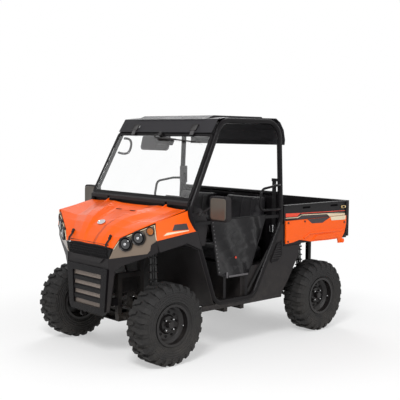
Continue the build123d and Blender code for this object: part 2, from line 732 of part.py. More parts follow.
# ---- Suspension -------------------------------------------------------------------------------
pad_thickness = 12.0
pad_radius = 24.0
shock_low_x = 441.0
shock_low_y = 46.0                     # behind the axle
shock_seat_z = 290.0
shock_end_gap = 2.0                    # room for the slanted end of the shock absorber


def arm_pad(y, low):
    """The pad that a hub carrier turns against, and its neck towards the arm."""
    with BuildSketch(Plane((kingpin_x, y, low))) as pad:
        Circle(pad_radius)
        with Locations((-32, 0)):
            Rectangle(64, 1.4 * pad_radius)
    extrude(pad.sketch, amount=pad_thickness)


lower_inner_z = 335.0
lower_outer_z = knuckle_low - gap - pad_thickness / 2 - 8
with BuildPart() as suspension_arms:
    for y in (front_axle_y, rear_axle_y):
        # Lower arm: a V of two tubes from the rail's pivots to the pad under the kingpin
        for side in (-1, 1):
            foot_y = y + side * arm_spread
            rod((arm_inner_x + 20, foot_y, lower_inner_z), (kingpin_x - 48, y, lower_outer_z), arm_tube)
            rod((arm_inner_x + 20, foot_y - 22, lower_inner_z),
                (arm_inner_x + 20, foot_y + 22, lower_inner_z), arm_tube + 4)
            block((rail_out + gap, arm_inner_x + 20), (foot_y - 20, foot_y + 20),
                  (lower_inner_z - 14, lower_inner_z + 14))
        arm_pad(y, knuckle_low - gap - pad_thickness)
        # Seat of the shock absorber on the lower arm
        block((shock_low_x - 22, shock_low_x + 22), (y + shock_low_y - 22, y + shock_low_y + 22),
              (262, shock_seat_z))
        # Upper arm: one tube from a frame post to the pad over the kingpin
        pivot_y = y - upper_pivot_ahead
        rod((rail_out + 12, pivot_y, upper_pivot_z),
            (kingpin_x - 46, y, knuckle_high + gap + pad_thickness + 2), arm_tube - 4)
        block((rail_out - 10 + gap, rail_out + 24), (pivot_y - 17, pivot_y + 17),
              (upper_pivot_z - 17, upper_pivot_z + 17))
        arm_pad(y, knuckle_high + gap)
    # Rear hub carriers
    with BuildSketch(Plane((kingpin_x, rear_axle_y, knuckle_low - gap))) as post:
        Circle(kingpin_radius)
    extrude(post.sketch, amount=knuckle_high - knuckle_low + 2 * gap)
    rod((kingpin_x, rear_axle_y, tyre_radius), (track_half + 60, rear_axle_y, tyre_radius),
        spindle_radius)
    mirror(about=Plane.YZ)
finish(suspension_arms, "suspension_arms")

# Shock absorbers: lower end, upper end, each an (x, y, z)
shock_rod_radius = 9.0
shock_body_radius = 24.0
spring_radius = 34.0
spring_wire = 5.5
spring_turns = 8
shock_table = [
    ((shock_low_x, front_axle_y + shock_low_y, shock_seat_z + shock_end_gap),
     (shock_top_x_front, front_tower_y, front_tower_z - shock_end_gap)),
    ((shock_low_x, rear_axle_y + shock_low_y, shock_seat_z + shock_end_gap),
     (shock_top_x_rear, rear_tower_y, bed_rail_z - 60 - shock_end_gap)),
]
with BuildPart() as shock_absorbers:
    for low, high in shock_table:
        run = Vector(*high) - Vector(*low)
        axis = Plane(origin=low, z_dir=run)
        length = run.length
        stations = [(0, 60, 16), (60, length * 0.55, shock_body_radius),
                    (length * 0.55, length - 20, shock_rod_radius), (length - 20, length, 16),
                    (70, 78, spring_radius + spring_wire), (length - 36, length - 20,
                    spring_radius + spring_wire)]
        for start, end, radius in stations:
            with BuildSketch(axis.offset(start)) as section:
                Circle(radius)
            extrude(section.sketch, amount=end - start)
        pitch = (length - 36 - 78) / spring_turns
        for turn in range(spring_turns):
            middle = axis.offset(78 + (turn + 0.5) * pitch)
            with BuildSketch(Plane(middle.origin, x_dir=middle.z_dir, z_dir=middle.x_dir)) as wire:
                with Locations((0, spring_radius)):
                    RegularPolygon(spring_wire, 6)
            revolve(wire.sketch, Axis(middle.origin, middle.z_dir), 360)
        # Ribs that carry the coils on the damper's sleeve
        for side in (-1, 1):
            with BuildSketch(axis.offset(70)) as rib:
                with Locations((0, side * (spring_radius - 7))):
                    Rectangle(4, 20)
            extrude(rib.sketch, amount=length - 36 - 70)
    mirror(about=Plane.YZ)
finish(shock_absorbers, "shock_absorbers")

# ---- Steered knuckles -------------------------------------------------------------------------
with BuildPart() as knuckle_left:
    with BuildSketch(Plane((kingpin_x, front_axle_y, knuckle_low))) as post:
        Circle(kingpin_radius)
    extrude(post.sketch, amount=knuckle_high - knuckle_low)
    rod((kingpin_x, front_axle_y, tyre_radius), (track_half + 60, front_axle_y, tyre_radius),
        spindle_radius)
    with BuildSketch(Plane((kingpin_x, front_axle_y, steer_arm_z))) as arm:
        with BuildLine():
            Polyline((-24, 0), (-12, -steer_arm_front), (12, -steer_arm_front), (24, 0), close=True)
        make_face()
        with Locations((0, -steer_arm_front)):
            Circle(14)
    extrude(arm.sketch, amount=12)
finish(knuckle_left, "knuckle_left")
mirrored(knuckle_left, "knuckle_right")

# ---- Driveline --------------------------------------------------------------------------------
drive_box_half = 85.0
shaft_radius = 13.0
boot_radius = 26.0
shaft_inner_z = 408.0
drive_table = [              # axle y, box from y to y
    (front_axle_y, front_axle_y - 55, front_axle_y + 75),
    (rear_axle_y, rear_axle_y - 75, rear_axle_y + 75),
]
with BuildPart() as driveline:
    for y, box_front, box_rear in drive_table:
        block((-drive_box_half, drive_box_half), (box_front, box_rear), (rail_high - 10 + gap, 470))
        for side in (-1, 1):
            rod((side * drive_box_half, y, shaft_inner_z),
                (side * (drive_box_half + 40), y, shaft_inner_z), boot_radius)
            rod((side * (drive_box_half + 20), y, shaft_inner_z),
                (side * (kingpin_x - kingpin_radius - running_gap), y, tyre_radius + 2), shaft_radius)
finish(driveline, "driveline")

# ---- Steering ---------------------------------------------------------------------------------
rack_y = front_axle_y - steer_arm_front
rack_z = steer_arm_z + 12 + 40
rack_radius = 12.0
housing_half = 170.0
tie_end_x = kingpin_x
rod_end_low = steer_arm_z + 12 + gap
with BuildPart() as steering_rack:
    rod((-housing_half - 90, rack_y, rack_z), (housing_half + 90, rack_y, rack_z), rack_radius)
    for side in (-1, 1):
        rod((side * (housing_half + 80), rack_y, rack_z), (side * tie_end_x, rack_y, rod_end_low + 9), 8)
        with BuildSketch(Plane((side * tie_end_x, rack_y, rod_end_low))) as eye:
            Circle(13)
        extrude(eye.sketch, amount=18)
finish(steering_rack, "steering_rack")

with BuildPart() as steering_gear:
    rod((-housing_half, rack_y, rack_z), (housing_half, rack_y, rack_z), 24)
    rod((-housing_half - 1, rack_y, rack_z), (housing_half + 1, rack_y, rack_z), rack_radius + gap,
        Mode.SUBTRACT)
    block_pair((100, 130), (rack_y - 16, rack_y + 16), (rail_high - 10 + gap, rack_z - 15))
    rod(column_foot, column_head, column_radius)
finish(steering_gear, "steering_gear")

with BuildPart() as steering_wheel:
    wheel_plane = Plane(origin=tuple(hub), x_dir=(1, 0, 0), z_dir=tuple(column_axis))
    rim_plane = Plane(origin=tuple(hub), x_dir=(1, 0, 0), z_dir=tuple(wheel_plane.y_dir * -1))
    with BuildSketch(rim_plane) as rim_section:
        with Locations((steering_wheel_radius - 14, 0)):
            Circle(14)
    revolve(rim_section.sketch, Axis(tuple(hub), tuple(column_axis)), 360)
    with BuildSketch(wheel_plane.offset(-boss_length - boss_end)) as boss:
        Circle(45)
    extrude(boss.sketch, amount=boss_length)
    with BuildSketch(wheel_plane.offset(-16)) as spokes:
        with PolarLocations(0, 3, start_angle=-90):
            with Locations((steering_wheel_radius / 2, 0)):
                Rectangle(steering_wheel_radius - 20, 34)
    extrude(spokes.sketch, amount=10)
finish(steering_wheel, "steering_wheel")

# ---- Wheels -----------------------------------------------------------------------------------
# Tyre section, from the tread's middle round the left sidewall to the bead: x, radius
bead_x = rim_width / 2 - 8 - gap
tyre_outer = [
    (0.0, 314.0), (70.0, 311.0), (100.0, 301.0), (112.0, 277.0), (115.0, 235.0), (107.0, 192.0),
    (bead_x + 3, 178.0), (bead_x, rim_radius), (bead_x, bead_radius + gap),
]
tyre_inner = [
    (72.0, bead_radius + gap), (78.0, 180.0), (94.0, 198.0), (102.0, 235.0), (97.0, 268.0),
    (86.0, 284.0), (0.0, 292.0),
]
lug_root = 292.0
shoulder_low = 250.0
shoulder_high = 320.0
half_lug = lug_width / 2
# One lug on each half of the tread: a skewed bar and its block down the shoulder
with BuildPart() as lug_pair:
    for side, turned in ((1, 0.0), (-1, 180.0 / lug_count)):
        outward = Plane(origin=(0, 0, 0), x_dir=(1, 0, 0),
                        z_dir=(0, sin(radians(turned)), -cos(radians(turned))))
        with BuildSketch(outward.offset(lug_root)) as bar:
            with BuildLine():
                Polyline((side * 4, -half_lug + 20), (side * 60, -half_lug), (side * 112, -half_lug),
                         (side * 112, half_lug), (side * 4, half_lug), close=True)
            make_face()
        extrude(bar.sketch, amount=tyre_radius - lug_root)
        with BuildSketch(outward.offset(shoulder_low)) as shoulder:
            with Locations((side * 104, 0)):
                Rectangle(22, lug_width)
        extrude(shoulder.sketch, amount=shoulder_high - shoulder_low)
        # The outer end of the lug slopes down to the shoulder
        crosswise = Plane(origin=(0, 0, 0), x_dir=(1, 0, 0), z_dir=outward.x_dir.cross(outward.z_dir))
        up = crosswise.y_dir.dot(outward.z_dir)
        with BuildSketch(crosswise) as slope:
            with BuildLine():
                Polyline((side * 82, up * (tyre_radius + 1)), (side * 116, up * (tyre_radius + 1)),
                         (side * 116, up * 290), close=True)
            make_face()
        extrude(slope.sketch, amount=2 * lug_width, both=True, mode=Mode.SUBTRACT)

with BuildPart() as tyre:
    with BuildSketch(Plane.XZ) as tyre_section:
        half = tyre_outer + tyre_inner
        with BuildLine():
            Polyline(*half, *[(-x, r) for x, r in reversed(half) if x > 0], close=True)
        make_face()
    revolve(tyre_section.sketch, Axis.X, 360)
    add([lug_pair.part.rotate(Axis.X, index * 360 / lug_count) for index in range(lug_count)])

rim_flange_x = rim_width / 2
rim_outer = [(-rim_flange_x, rim_radius), (-rim_flange_x + 8, rim_radius), (-rim_flange_x + 8, bead_radius),
             (-60.0, bead_radius), (-50.0, 138.0), (30.0, 138.0), (44.0, bead_radius),
             (rim_flange_x - 8, bead_radius), (rim_flange_x - 8, rim_radius), (rim_flange_x, rim_radius)]
rim_inner = [(rim_flange_x, bead_radius - rim_wall), (48.0, bead_radius - rim_wall), (36.0, 134.0),
             (24.0, 120.0), (20.0, 80.0), (36.0, 66.0), (40.0, 18.0), (30.0, 18.0), (30.0, 60.0),
             (12.0, 76.0), (14.0, 124.0), (22.0, 134.0), (-52.0, 134.0), (-62.0, bead_radius - rim_wall),
             (-rim_flange_x, bead_radius - rim_wall)]
with BuildPart() as rim:
    with BuildSketch(Plane.XZ) as rim_section:
        with BuildLine():
            Polyline(*rim_outer, *rim_inner, close=True)
        make_face()
    revolve(rim_section.sketch, Axis.X, 360)
    with BuildSketch(Plane.YZ.offset(kingpin_x + kingpin_radius + running_gap - track_half)) as hub_face:
        Circle(hub_radius)
        Circle(spindle_radius + spindle_clearance, mode=Mode.SUBTRACT)
    extrude(hub_face.sketch, amount=track_half - kingpin_x - kingpin_radius - running_gap + 30)
    with BuildSketch(Plane.YZ.offset(36)) as cap:
        Circle(30)
    extrude(cap.sketch, amount=34)
    with BuildSketch(Plane.YZ.offset(30)) as cap_space:
        Circle(spindle_radius + spindle_clearance)
    extrude(cap_space.sketch, amount=32, mode=Mode.SUBTRACT)
    with BuildSketch(Plane.YZ.offset(34)) as nuts:
        with PolarLocations(wheel_stud_circle / 2, wheel_stud_count, start_angle=45):
            RegularPolygon(11, 6)
    extrude(nuts.sketch, amount=16)

wheel_table = [              # name, side, axle y
    ("front_left", 1, front_axle_y), ("front_right", -1, front_axle_y),
    ("rear_left", 1, rear_axle_y), ("rear_right", -1, rear_axle_y),
]
for name, side, y in wheel_table:
    for kind, source in (("tyre", tyre), ("rim", rim)):
        with BuildPart() as copy:
            placed = source.part if side > 0 else mirror(source.part, about=Plane.YZ, mode=Mode.PRIVATE)
            add(placed.moved(Location((side * track_half, y, tyre_radius))))
        finish(copy, f"{kind}_{name}")

# ---- Cargo bed --------------------------------------------------------------------------------
bed_inner = bed_half - bed_wall
rim_fold = 12.0
with BuildPart() as cargo_bed:
    block((-bed_half, bed_half), (bed_front, bed_rear), (bed_floor_z, bed_floor_z + bed_floor_thickness))
    block_pair((bed_inner, bed_half), (bed_front, bed_rear), (bed_floor_z, bed_top))
    block((-bed_half, bed_half), (bed_front, bed_front + bed_wall), (bed_floor_z, bed_top))
    block_pair((bed_inner - 6, bed_half + rim_fold), (bed_front, bed_rear), (bed_top - 12, bed_top))
    block_pair((bed_half, bed_half + rim_fold), (bed_rear - 22, bed_rear), (888, bed_top))
    # Floor ribs
    for index in range(9):
        x = (index - 4) * 140
        block((x - 25, x + 25), (bed_front + bed_wall, bed_rear), (bed_floor_z, bed_floor_z + 12))
    # Hinge ears under the floor
    for side in (-1, 1):
        ear_x = side * (rail_out + member_size + 20)
        with BuildSketch(Plane.YZ.offset(ear_x - 6)) as ear:
            with Locations((bed_hinge_y, bed_hinge_z)):
                Circle(22)
            with Locations((bed_hinge_y, (bed_hinge_z + bed_floor_z) / 2)):
                Rectangle(44, bed_floor_z - bed_hinge_z)
            with Locations((bed_hinge_y, bed_hinge_z)):
                Circle(bed_pin_radius + gap, mode=Mode.SUBTRACT)
        extrude(ear.sketch, amount=12)
    # Tailgate hinge ears, and the stops that the closed tailgate rests on
    for side in (-1, 1):
        x = side * tailgate_hinge_x
        block((x - 9, x + 9), (bed_rear - 20, tailgate_hinge_y), (bed_floor_z, tailgate_hinge_z + 9))
        rod((x - 9, tailgate_hinge_y, tailgate_hinge_z), (x + 9, tailgate_hinge_y, tailgate_hinge_z), 9)
        block((x - 10, x + 10), (bed_rear, rear_end), (bed_floor_z - 1, tailgate_bottom + 4),
              Mode.SUBTRACT)
        rod((x - 10, tailgate_hinge_y, tailgate_hinge_z), (x + 10, tailgate_hinge_y,
            tailgate_hinge_z), tailgate_pin_radius + gap, Mode.SUBTRACT)
    block_pair((bed_inner, bed_inner + 16), (bed_rear, rear_end - tailgate_thickness - gap),
               (1140, 1180))
finish(cargo_bed, "cargo_bed")

side_outline = [
    (372, 1070), (1264, 1068), (1264, 990), (1240, 905), (1203, 858), (1190, 806), (1150, 806),
    (1140, 850), (970, 849), (730, 855), (600, 880), (560, 885), (470, 868), (376, 862),
]
emboss_outline = [(745, 868), (800, 912), (1030, 918), (1075, 893), (1130, 888), (1130, 862), (970, 858)]
emboss_rise = 8.0
with BuildPart() as bed_panels:
    slab_x(side_outline, (bed_half + gap, bed_half + bed_panel_thickness))
    with BuildSketch(Plane.YZ.offset(bed_half + bed_panel_thickness)) as emboss:
        with BuildLine():
            Polyline(*emboss_outline, close=True)
        make_face()
    extrude(emboss.sketch, amount=emboss_rise, taper=30)
    mirror(about=Plane.YZ)
finish(bed_panels, "bed_panels")

tailgate_half = 684.0
with BuildPart() as tailgate:
    block((-tailgate_half, tailgate_half), (rear_end - tailgate_thickness, rear_end),
          (tailgate_bottom, bed_top))
    for side in (-1, 1):
        x = side * tailgate_hinge_x
        block((x - 15, x + 15), (rear_end - tailgate_thickness, rear_end), (tailgate_bottom, 900),
              Mode.SUBTRACT)
        rod((x - 16, tailgate_hinge_y, tailgate_hinge_z), (x + 16, tailgate_hinge_y,
            tailgate_hinge_z), tailgate_pin_radius)
finish(tailgate, "tailgate")

# ---- Exhaust ----------------------------------------------------------------------------------
pipe_radius = 20.0
silencer_y, silencer_z, silencer_radius = silencer
with BuildPart() as exhaust:
    rod((-150, silencer_y, silencer_z), (150, silencer_y, silencer_z), silencer_radius)
    bent_tube([(0, 675 + gap, 600), (0, 780, 600), (0, 900, 640), (0, 1040, 610)], [60, 60], pipe_radius)
    rod((100, silencer_y, silencer_z), (100, 1250, 570), pipe_radius - 2)
finish(exhaust, "exhaust")

for name, piece in pieces.items():
    export_step(piece, f"parts/{name}.step")
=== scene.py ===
import bpy, bmesh, math
from mathutils import Vector, Matrix


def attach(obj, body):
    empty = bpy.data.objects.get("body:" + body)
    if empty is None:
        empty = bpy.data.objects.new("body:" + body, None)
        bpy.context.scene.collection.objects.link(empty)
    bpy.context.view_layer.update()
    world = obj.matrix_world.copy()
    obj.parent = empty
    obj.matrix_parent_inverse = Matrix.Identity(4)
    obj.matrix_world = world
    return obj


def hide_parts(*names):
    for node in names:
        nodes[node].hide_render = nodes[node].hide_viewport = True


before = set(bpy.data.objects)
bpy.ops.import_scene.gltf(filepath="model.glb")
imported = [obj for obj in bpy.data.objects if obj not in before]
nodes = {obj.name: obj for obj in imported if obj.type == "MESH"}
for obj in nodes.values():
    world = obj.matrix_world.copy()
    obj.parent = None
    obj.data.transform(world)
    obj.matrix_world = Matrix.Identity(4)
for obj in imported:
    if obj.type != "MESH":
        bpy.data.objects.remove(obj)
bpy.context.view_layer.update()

ahead, behind, left, up = Vector((0, -1, 0)), Vector((0, 1, 0)), Vector((1, 0, 0)), Vector((0, 0, 1))
print("frame loaded:", len(nodes), "nodes")

# ---- shader node helpers: an input takes a value, a node, or a node with the name of its output
def setInputs(node, values):
    for key, value in values.items():
        source, output = value if isinstance(value, tuple) and len(value) == 2 else (value, 0)
        if isinstance(source, bpy.types.Node):
            node.id_data.links.new(source.outputs[output], node.inputs[key])
        else:
            node.inputs[key].default_value = value

def addNode(tree, kind, values=None, **settings):
    node = tree.nodes.new("ShaderNode" + kind)
    for key, value in settings.items():
        setattr(node, key, value)
    setInputs(node, values or {})
    return node

def addMath(tree, operation, *values):
    return addNode(tree, "Math", dict(enumerate(values)), operation=operation)

def addPlace(tree):    # Object coordinates
    return addNode(tree, "TexCoord"), "Object"

# ---- camera, floor and lights
view = {"place": (5.454, -5.116, 1.855), "yaw": 47.617, "pitch": 3.949, "roll": 0.548,
        "lens": 72.08, "sensor": 36, "shiftX": 0.0183, "shiftY": -0.0284}
studio = {"sky": 0.46, "floor": 0.92, "floorSize": 60, "floorGloss": 0.9, "shadowReach": (1.5, 3.0),
          "paperLift": 0.45}
lamps = {    # place, target, size, power
    "keyLamp": ((3.2, -4.2, 4.6), (0, -0.2, 0.9), 1.7, 270),
    "fillLamp": ((6.0, 1.5, 2.6), (0, 0, 0.9), 3.5, 80),
    "rimLamp": ((-3.5, 3.0, 4.5), (0, 0, 1.0), 3.0, 120)}

def aimCamera():
    yaw, pitch, roll = (math.radians(view[k]) for k in ("yaw", "pitch", "roll"))
    bpy.ops.object.camera_add()
    camera = bpy.context.object
    camera.matrix_world = (Matrix.Translation(view["place"]) @ Matrix.Rotation(yaw, 4, "Z")
                           @ Matrix.Rotation(math.pi / 2 - pitch, 4, "X") @ Matrix.Rotation(roll, 4, "Z"))
    camera.data.lens, camera.data.sensor_width = view["lens"], view["sensor"]
    camera.data.shift_x, camera.data.shift_y = view["shiftX"], view["shiftY"]
    bpy.context.scene.camera = camera

def addLamp(name, place, target, size, power):
    bpy.ops.object.light_add(type="AREA", location=place)
    lamp = bpy.context.object
    lamp.name = name
    lamp.rotation_euler = (Vector(target) - Vector(place)).to_track_quat("-Z", "Y").to_euler()
    lamp.data.size, lamp.data.energy = size, power

def seenRays(tree):    # 1 for rays from the lens, off gloss or through glass
    path = addNode(tree, "LightPath")
    last = (path, "Is Camera Ray")
    for kind in ("Is Glossy Ray", "Is Transmission Ray"):
        last = addMath(tree, "MAXIMUM", last, (path, kind))
    return last

def addFloor():
    bpy.ops.mesh.primitive_plane_add(size=studio["floorSize"])
    floor = bpy.context.object
    floor.name = "studioFloor"
    mat = bpy.data.materials.new("studioFloor")
    mat.use_nodes = True
    tree = mat.node_tree
    paper = tree.nodes["Principled BSDF"]
    setInputs(paper, {"Base Color": (studio["floor"],) * 3 + (1,), "Roughness": studio["floorGloss"]})
    # Away from the vehicle the paper is plain white to the lens, to gloss and through glass
    near, far = studio["shadowReach"]
    reach = addNode(tree, "VectorMath", {0: addPlace(tree)}, operation="LENGTH")
    fade = addNode(tree, "MapRange", {"Value": (reach, "Value"), "From Min": near, "From Max": far,
                                      "To Min": studio["paperLift"]}, interpolation_type="SMOOTHSTEP")
    amount = addMath(tree, "MULTIPLY", fade, seenRays(tree))
    mix = addNode(tree, "MixShader", {0: amount, 1: paper, 2: addNode(tree, "Emission")})
    setInputs(tree.nodes["Material Output"], {"Surface": mix})
    floor.data.materials.append(mat)

def lightSky():
    world = bpy.data.worlds.new("studioSky")
    bpy.context.scene.world = world
    world.use_nodes = True
    tree = world.node_tree
    level = addNode(tree, "MapRange", {"Value": seenRays(tree), "To Min": studio["sky"], "To Max": 1})
    setInputs(tree.nodes["Background"], {"Color": (1, 1, 1, 1), "Strength": level})

aimCamera()
addFloor()
lightSky()
for name, row in lamps.items():
    addLamp(name, *row)
bpy.context.scene.view_settings.view_transform = "Standard"
print("camera, floor and lights set")

# ---- shader node groups, each used by several materials
grey = (0.5, 0.5, 0.5, 1)

def makeGroup(name, inputs, outputs):    # a tuple makes a colour socket and a number makes a value socket
    group = bpy.data.node_groups.new(name, "ShaderNodeTree")
    for way, sockets in (("INPUT", inputs), ("OUTPUT", outputs)):
        for label, value in sockets.items():
            kind = "NodeSocketColor" if isinstance(value, tuple) else "NodeSocketFloat"
            group.interface.new_socket(name=label, in_out=way, socket_type=kind).default_value = value
    return group, group.nodes.new("NodeGroupInput"), group.nodes.new("NodeGroupOutput")

def buildTone():    # uneven colour and gloss over a surface
    tree, given, out = makeGroup("unevenTone", {"Colour": grey, "Scale": 4, "Spread": 0.1, "Gloss": 0.5,
                                                "Gloss Spread": 0.1}, {"Colour": grey, "Roughness": 0.5})
    noise = addNode(tree, "TexNoise", {"Vector": addPlace(tree), "Scale": (given, "Scale"), "Detail": 4,
                                       "Roughness": 0.6})
    centred = addMath(tree, "SUBTRACT", (noise, "Fac"), 0.5)
    value = addMath(tree, "ADD", addMath(tree, "MULTIPLY", centred, (given, "Spread")), 1.0)
    shade = addNode(tree, "HueSaturation", {"Value": value, "Color": (given, "Colour")})
    rough = addMath(tree, "MULTIPLY_ADD", centred, (given, "Gloss Spread"), (given, "Gloss"))
    setInputs(out, {"Colour": shade, "Roughness": rough})
    return tree

def buildDust():    # road dust, thicker towards the ground
    tree, given, out = makeGroup("roadDust", {"Colour": grey, "Dust": (0.3, 0.26, 0.21, 1), "Top": 0.9,
                                              "Amount": 0.3}, {"Colour": grey})
    place = addPlace(tree)
    split = addNode(tree, "SeparateXYZ", {0: place})
    fade = addNode(tree, "MapRange", {"Value": (split, "Z"), "From Max": (given, "Top"), "To Min": 1,
                                      "To Max": 0})
    noise = addNode(tree, "TexNoise", {"Vector": place, "Scale": 9, "Detail": 6, "Roughness": 0.7})
    patch = addNode(tree, "MapRange", {"Value": (noise, "Fac"), "From Min": 0.35, "From Max": 0.75})
    much = addMath(tree, "MULTIPLY", addMath(tree, "MULTIPLY", fade, patch), (given, "Amount"))
    mix = addNode(tree, "Mix", {0: much, 6: (given, "Colour"), 7: (given, "Dust")}, data_type="RGBA")
    setInputs(out, {"Colour": (mix, 2)})
    return tree

def buildGrain():    # moulded or sprayed grain, as a height
    tree, given, out = makeGroup("fineGrain", {"Scale": 400, "Lump Scale": 20, "Lumps": 0.2}, {"Height": 0})
    place = addPlace(tree)
    cells = addNode(tree, "TexVoronoi", {"Vector": place, "Scale": (given, "Scale")}, feature="SMOOTH_F1")
    lumps = addNode(tree, "TexNoise", {"Vector": place, "Scale": (given, "Lump Scale"), "Detail": 2})
    height = addMath(tree, "MULTIPLY_ADD", (lumps, "Fac"), (given, "Lumps"), (cells, "Distance"))
    setInputs(out, {"Height": height})
    return tree

def buildFolds():    # slanting creases in slack vinyl, as a height
    tree, given, out = makeGroup("slackFolds", {"Scale": 1.5, "Wander": 5}, {"Height": 0})
    place = addPlace(tree)
    slant = addNode(tree, "Mapping", {"Vector": place, "Rotation": (-0.7, 0, 0), "Scale": (1, 1, 0.6)})
    wave = addNode(tree, "TexWave", {"Vector": slant, "Scale": (given, "Scale"),
                                     "Distortion": (given, "Wander"), "Detail": 1, "Detail Scale": 1.0},
                   wave_type="BANDS", bands_direction="Y", wave_profile="SIN")
    noise = addNode(tree, "TexNoise", {"Vector": place, "Scale": 3.2, "Detail": 3})
    setInputs(out, {"Height": addMath(tree, "MULTIPLY", (wave, "Fac"), (noise, "Fac"))})
    return tree

groups = {"tone": buildTone(), "dust": buildDust(), "grain": buildGrain(), "folds": buildFolds()}

# ---- finishes
finishes = {
    # colour, gloss, gloss spread, metal, coat, tone scale, tone spread, grain scale, grain depth,
    # dust top, dust, specular, folds
    "hoodPaint": ((0.88, 0.108, 0.005), 0.26, 0.06, 0, 0.1, 2.5, 0.05, 900, 0.0002, 0.6, 0, 0.14, 0),
    "mouldedBlack": ((0.0135, 0.0118, 0.0126), 0.46, 0.16, 0, 0, 5, 0.35, 520, 0.0006, 0.85, 0.14, 0.16, 0),
    "roofBlack": ((0.0225, 0.0215, 0.0245), 0.5, 0.14, 0, 0, 4, 0.25, 620, 0.0006, 0.5, 0, 0.14, 0),
    "powderCoat": ((0.0068, 0.006, 0.0068), 0.24, 0.12, 0, 0.03, 6, 0.3, 1400, 0.0003, 0.7, 0.05, 0.08, 0),
    "chassisPaint": ((0.0075, 0.0066, 0.0072), 0.42, 0.2, 0, 0, 8, 0.5, 900, 0.0004, 0.9, 0.22, 0.12, 0),
    "bedSteel": ((0.0105, 0.0095, 0.0105), 0.4, 0.14, 0, 0, 5, 0.3, 1200, 0.0003, 0.5, 0, 0.15, 0),
    "lampPanel": ((0.19, 0.145, 0.11), 0.28, 0.08, 0.45, 0.3, 5, 0.12, 1500, 0.0002, 0.5, 0, 0.3, 0),
    "tyreRubber": ((0.018, 0.0174, 0.0176), 0.7, 0.16, 0, 0, 14, 0.45, 700, 0.0012, 0.62, 0.1, 0.22, 0),
    "wheelBlack": ((0.01, 0.0088, 0.0092), 0.3, 0.1, 0, 0.1, 8, 0.3, 1300, 0.0002, 0.62, 0.06, 0.25, 0),
    "castMetal": ((0.16, 0.155, 0.155), 0.5, 0.2, 0.8, 0, 12, 0.5, 800, 0.0008, 0.9, 0.35, 0.4, 0),
    "darkSteel": ((0.1, 0.097, 0.1), 0.42, 0.2, 0.9, 0, 10, 0.4, 900, 0.0004, 0.9, 0.3, 0.4, 0),
    "springSteel": ((0.012, 0.0115, 0.012), 0.28, 0.1, 0.1, 0.15, 10, 0.3, 1200, 0.0002, 0.9, 0.1, 0.3, 0),
    "seatVinyl": ((0.0066, 0.0058, 0.0072), 0.32, 0.12, 0, 0, 6, 0.35, 900, 0.001, 0.5, 0, 0.14, 0.048),
    "beltWeb": ((0.011, 0.0104, 0.0112), 0.65, 0.1, 0, 0, 12, 0.4, 1600, 0.0008, 0.5, 0, 0.15, 0),
    "brightMetal": ((0.6, 0.6, 0.61), 0.22, 0.06, 1.0, 0, 10, 0.1, 1500, 0.0001, 0.5, 0, 0.4, 0),
    "brassPlate": ((0.62, 0.46, 0.22), 0.28, 0.08, 1.0, 0, 14, 0.2, 1500, 0.0001, 0.5, 0, 0.4, 0),
    "netVinyl": ((0.0046, 0.004, 0.005), 0.2, 0.08, 0, 0.14, 7, 0.4, 700, 0.0004, 0.5, 0, 0.2, 0.095),
    "stripeBlack": ((0.015, 0.0135, 0.014), 0.36, 0.08, 0, 0.05, 6, 0.2, 1500, 0.0001, 0.5, 0, 0.15, 0),
    # near-black with almost no gloss: painted shade for the insides of the hood and rail slots
    "slotShadeBlack": ((0.0016, 0.0014, 0.0016), 0.6, 0.1, 0, 0, 6, 0.3, 900, 0.0003, 0.5, 0, 0.02, 0),
    "stripeGrey": ((0.045, 0.036, 0.038), 0.36, 0.08, 0, 0.05, 9, 0.5, 1500, 0.0001, 0.5, 0, 0.2, 0),
    # cream for the bed and fender stripes, and also for the painted highlight along the lamp panel edges
    "creamPrintAndHighlight": ((0.7, 0.6, 0.42), 0.34, 0.08, 0, 0.1, 6, 0.08, 1500, 0.0001, 0.5, 0, 0.3, 0),
    "stripeRed": ((0.7, 0.055, 0.022), 0.34, 0.08, 0, 0.1, 6, 0.08, 1500, 0.0001, 0.5, 0, 0.3, 0),
    "mirrorFace": ((0.5, 0.48, 0.44), 0.07, 0.02, 1.0, 0, 3, 0.05, 1500, 0.00001, 0.5, 0, 0.4, 0),
    "bronzeShell": ((0.078, 0.067, 0.054), 0.3, 0.06, 0.2, 0.12, 3, 0.35, 1500, 0.0001, 0.5, 0, 0.4, 0),
    "lampBowl": ((0.02, 0.02, 0.022), 0.07, 0.02, 0.2, 0.8, 3, 0.2, 1500, 0.00001, 0.5, 0, 0.4, 0),
    "visorGrey": ((0.1, 0.095, 0.1), 0.6, 0.1, 0, 0, 5, 0.2, 700, 0.0006, 0.5, 0, 0.2, 0),
    "grilleMesh": ((0.33, 0.275, 0.24), 0.5, 0.15, 0.3, 0, 12, 0.3, 900, 0.0005, 0.5, 0, 0.3, 0),
}

coatGloss, glassBend = 0.08, 1.45

def startPaint(name, colour, scale, spread, gloss, glossSpread):
    mat = bpy.data.materials.new(name)
    mat.use_nodes = True
    surface = mat.node_tree.nodes["Principled BSDF"]
    tone = addNode(mat.node_tree, "Group", {"Colour": (*colour, 1), "Scale": scale, "Spread": spread,
                                            "Gloss": gloss,
                                            "Gloss Spread": glossSpread}, node_tree=groups["tone"])
    setInputs(surface, {"Roughness": (tone, "Roughness")})
    return mat, surface, tone

def makeFinish(name):
    (colour, gloss, glossSpread, metal, coat, toneScale, toneSpread, grain, depth, top, dust, specular,
     folds) = finishes[name]
    mat, surface, tone = startPaint(name, colour, toneScale, toneSpread, gloss, glossSpread)
    tree = mat.node_tree
    dirt = addNode(tree, "Group", {"Colour": tone, "Top": top, "Amount": dust}, node_tree=groups["dust"])
    height = addNode(tree, "Group", {"Scale": grain}, node_tree=groups["grain"])
    bump = addNode(tree, "Bump", {"Height": height, "Distance": depth})
    if folds:
        crease = addNode(tree, "Group", node_tree=groups["folds"])
        setInputs(bump, {"Normal": addNode(tree, "Bump", {"Height": crease, "Distance": folds})})
    setInputs(surface, {"Base Color": dirt, "Normal": bump, "Metallic": metal, "Coat Weight": coat,
                        "Coat Roughness": coatGloss, "Specular IOR Level": specular})
    return mat

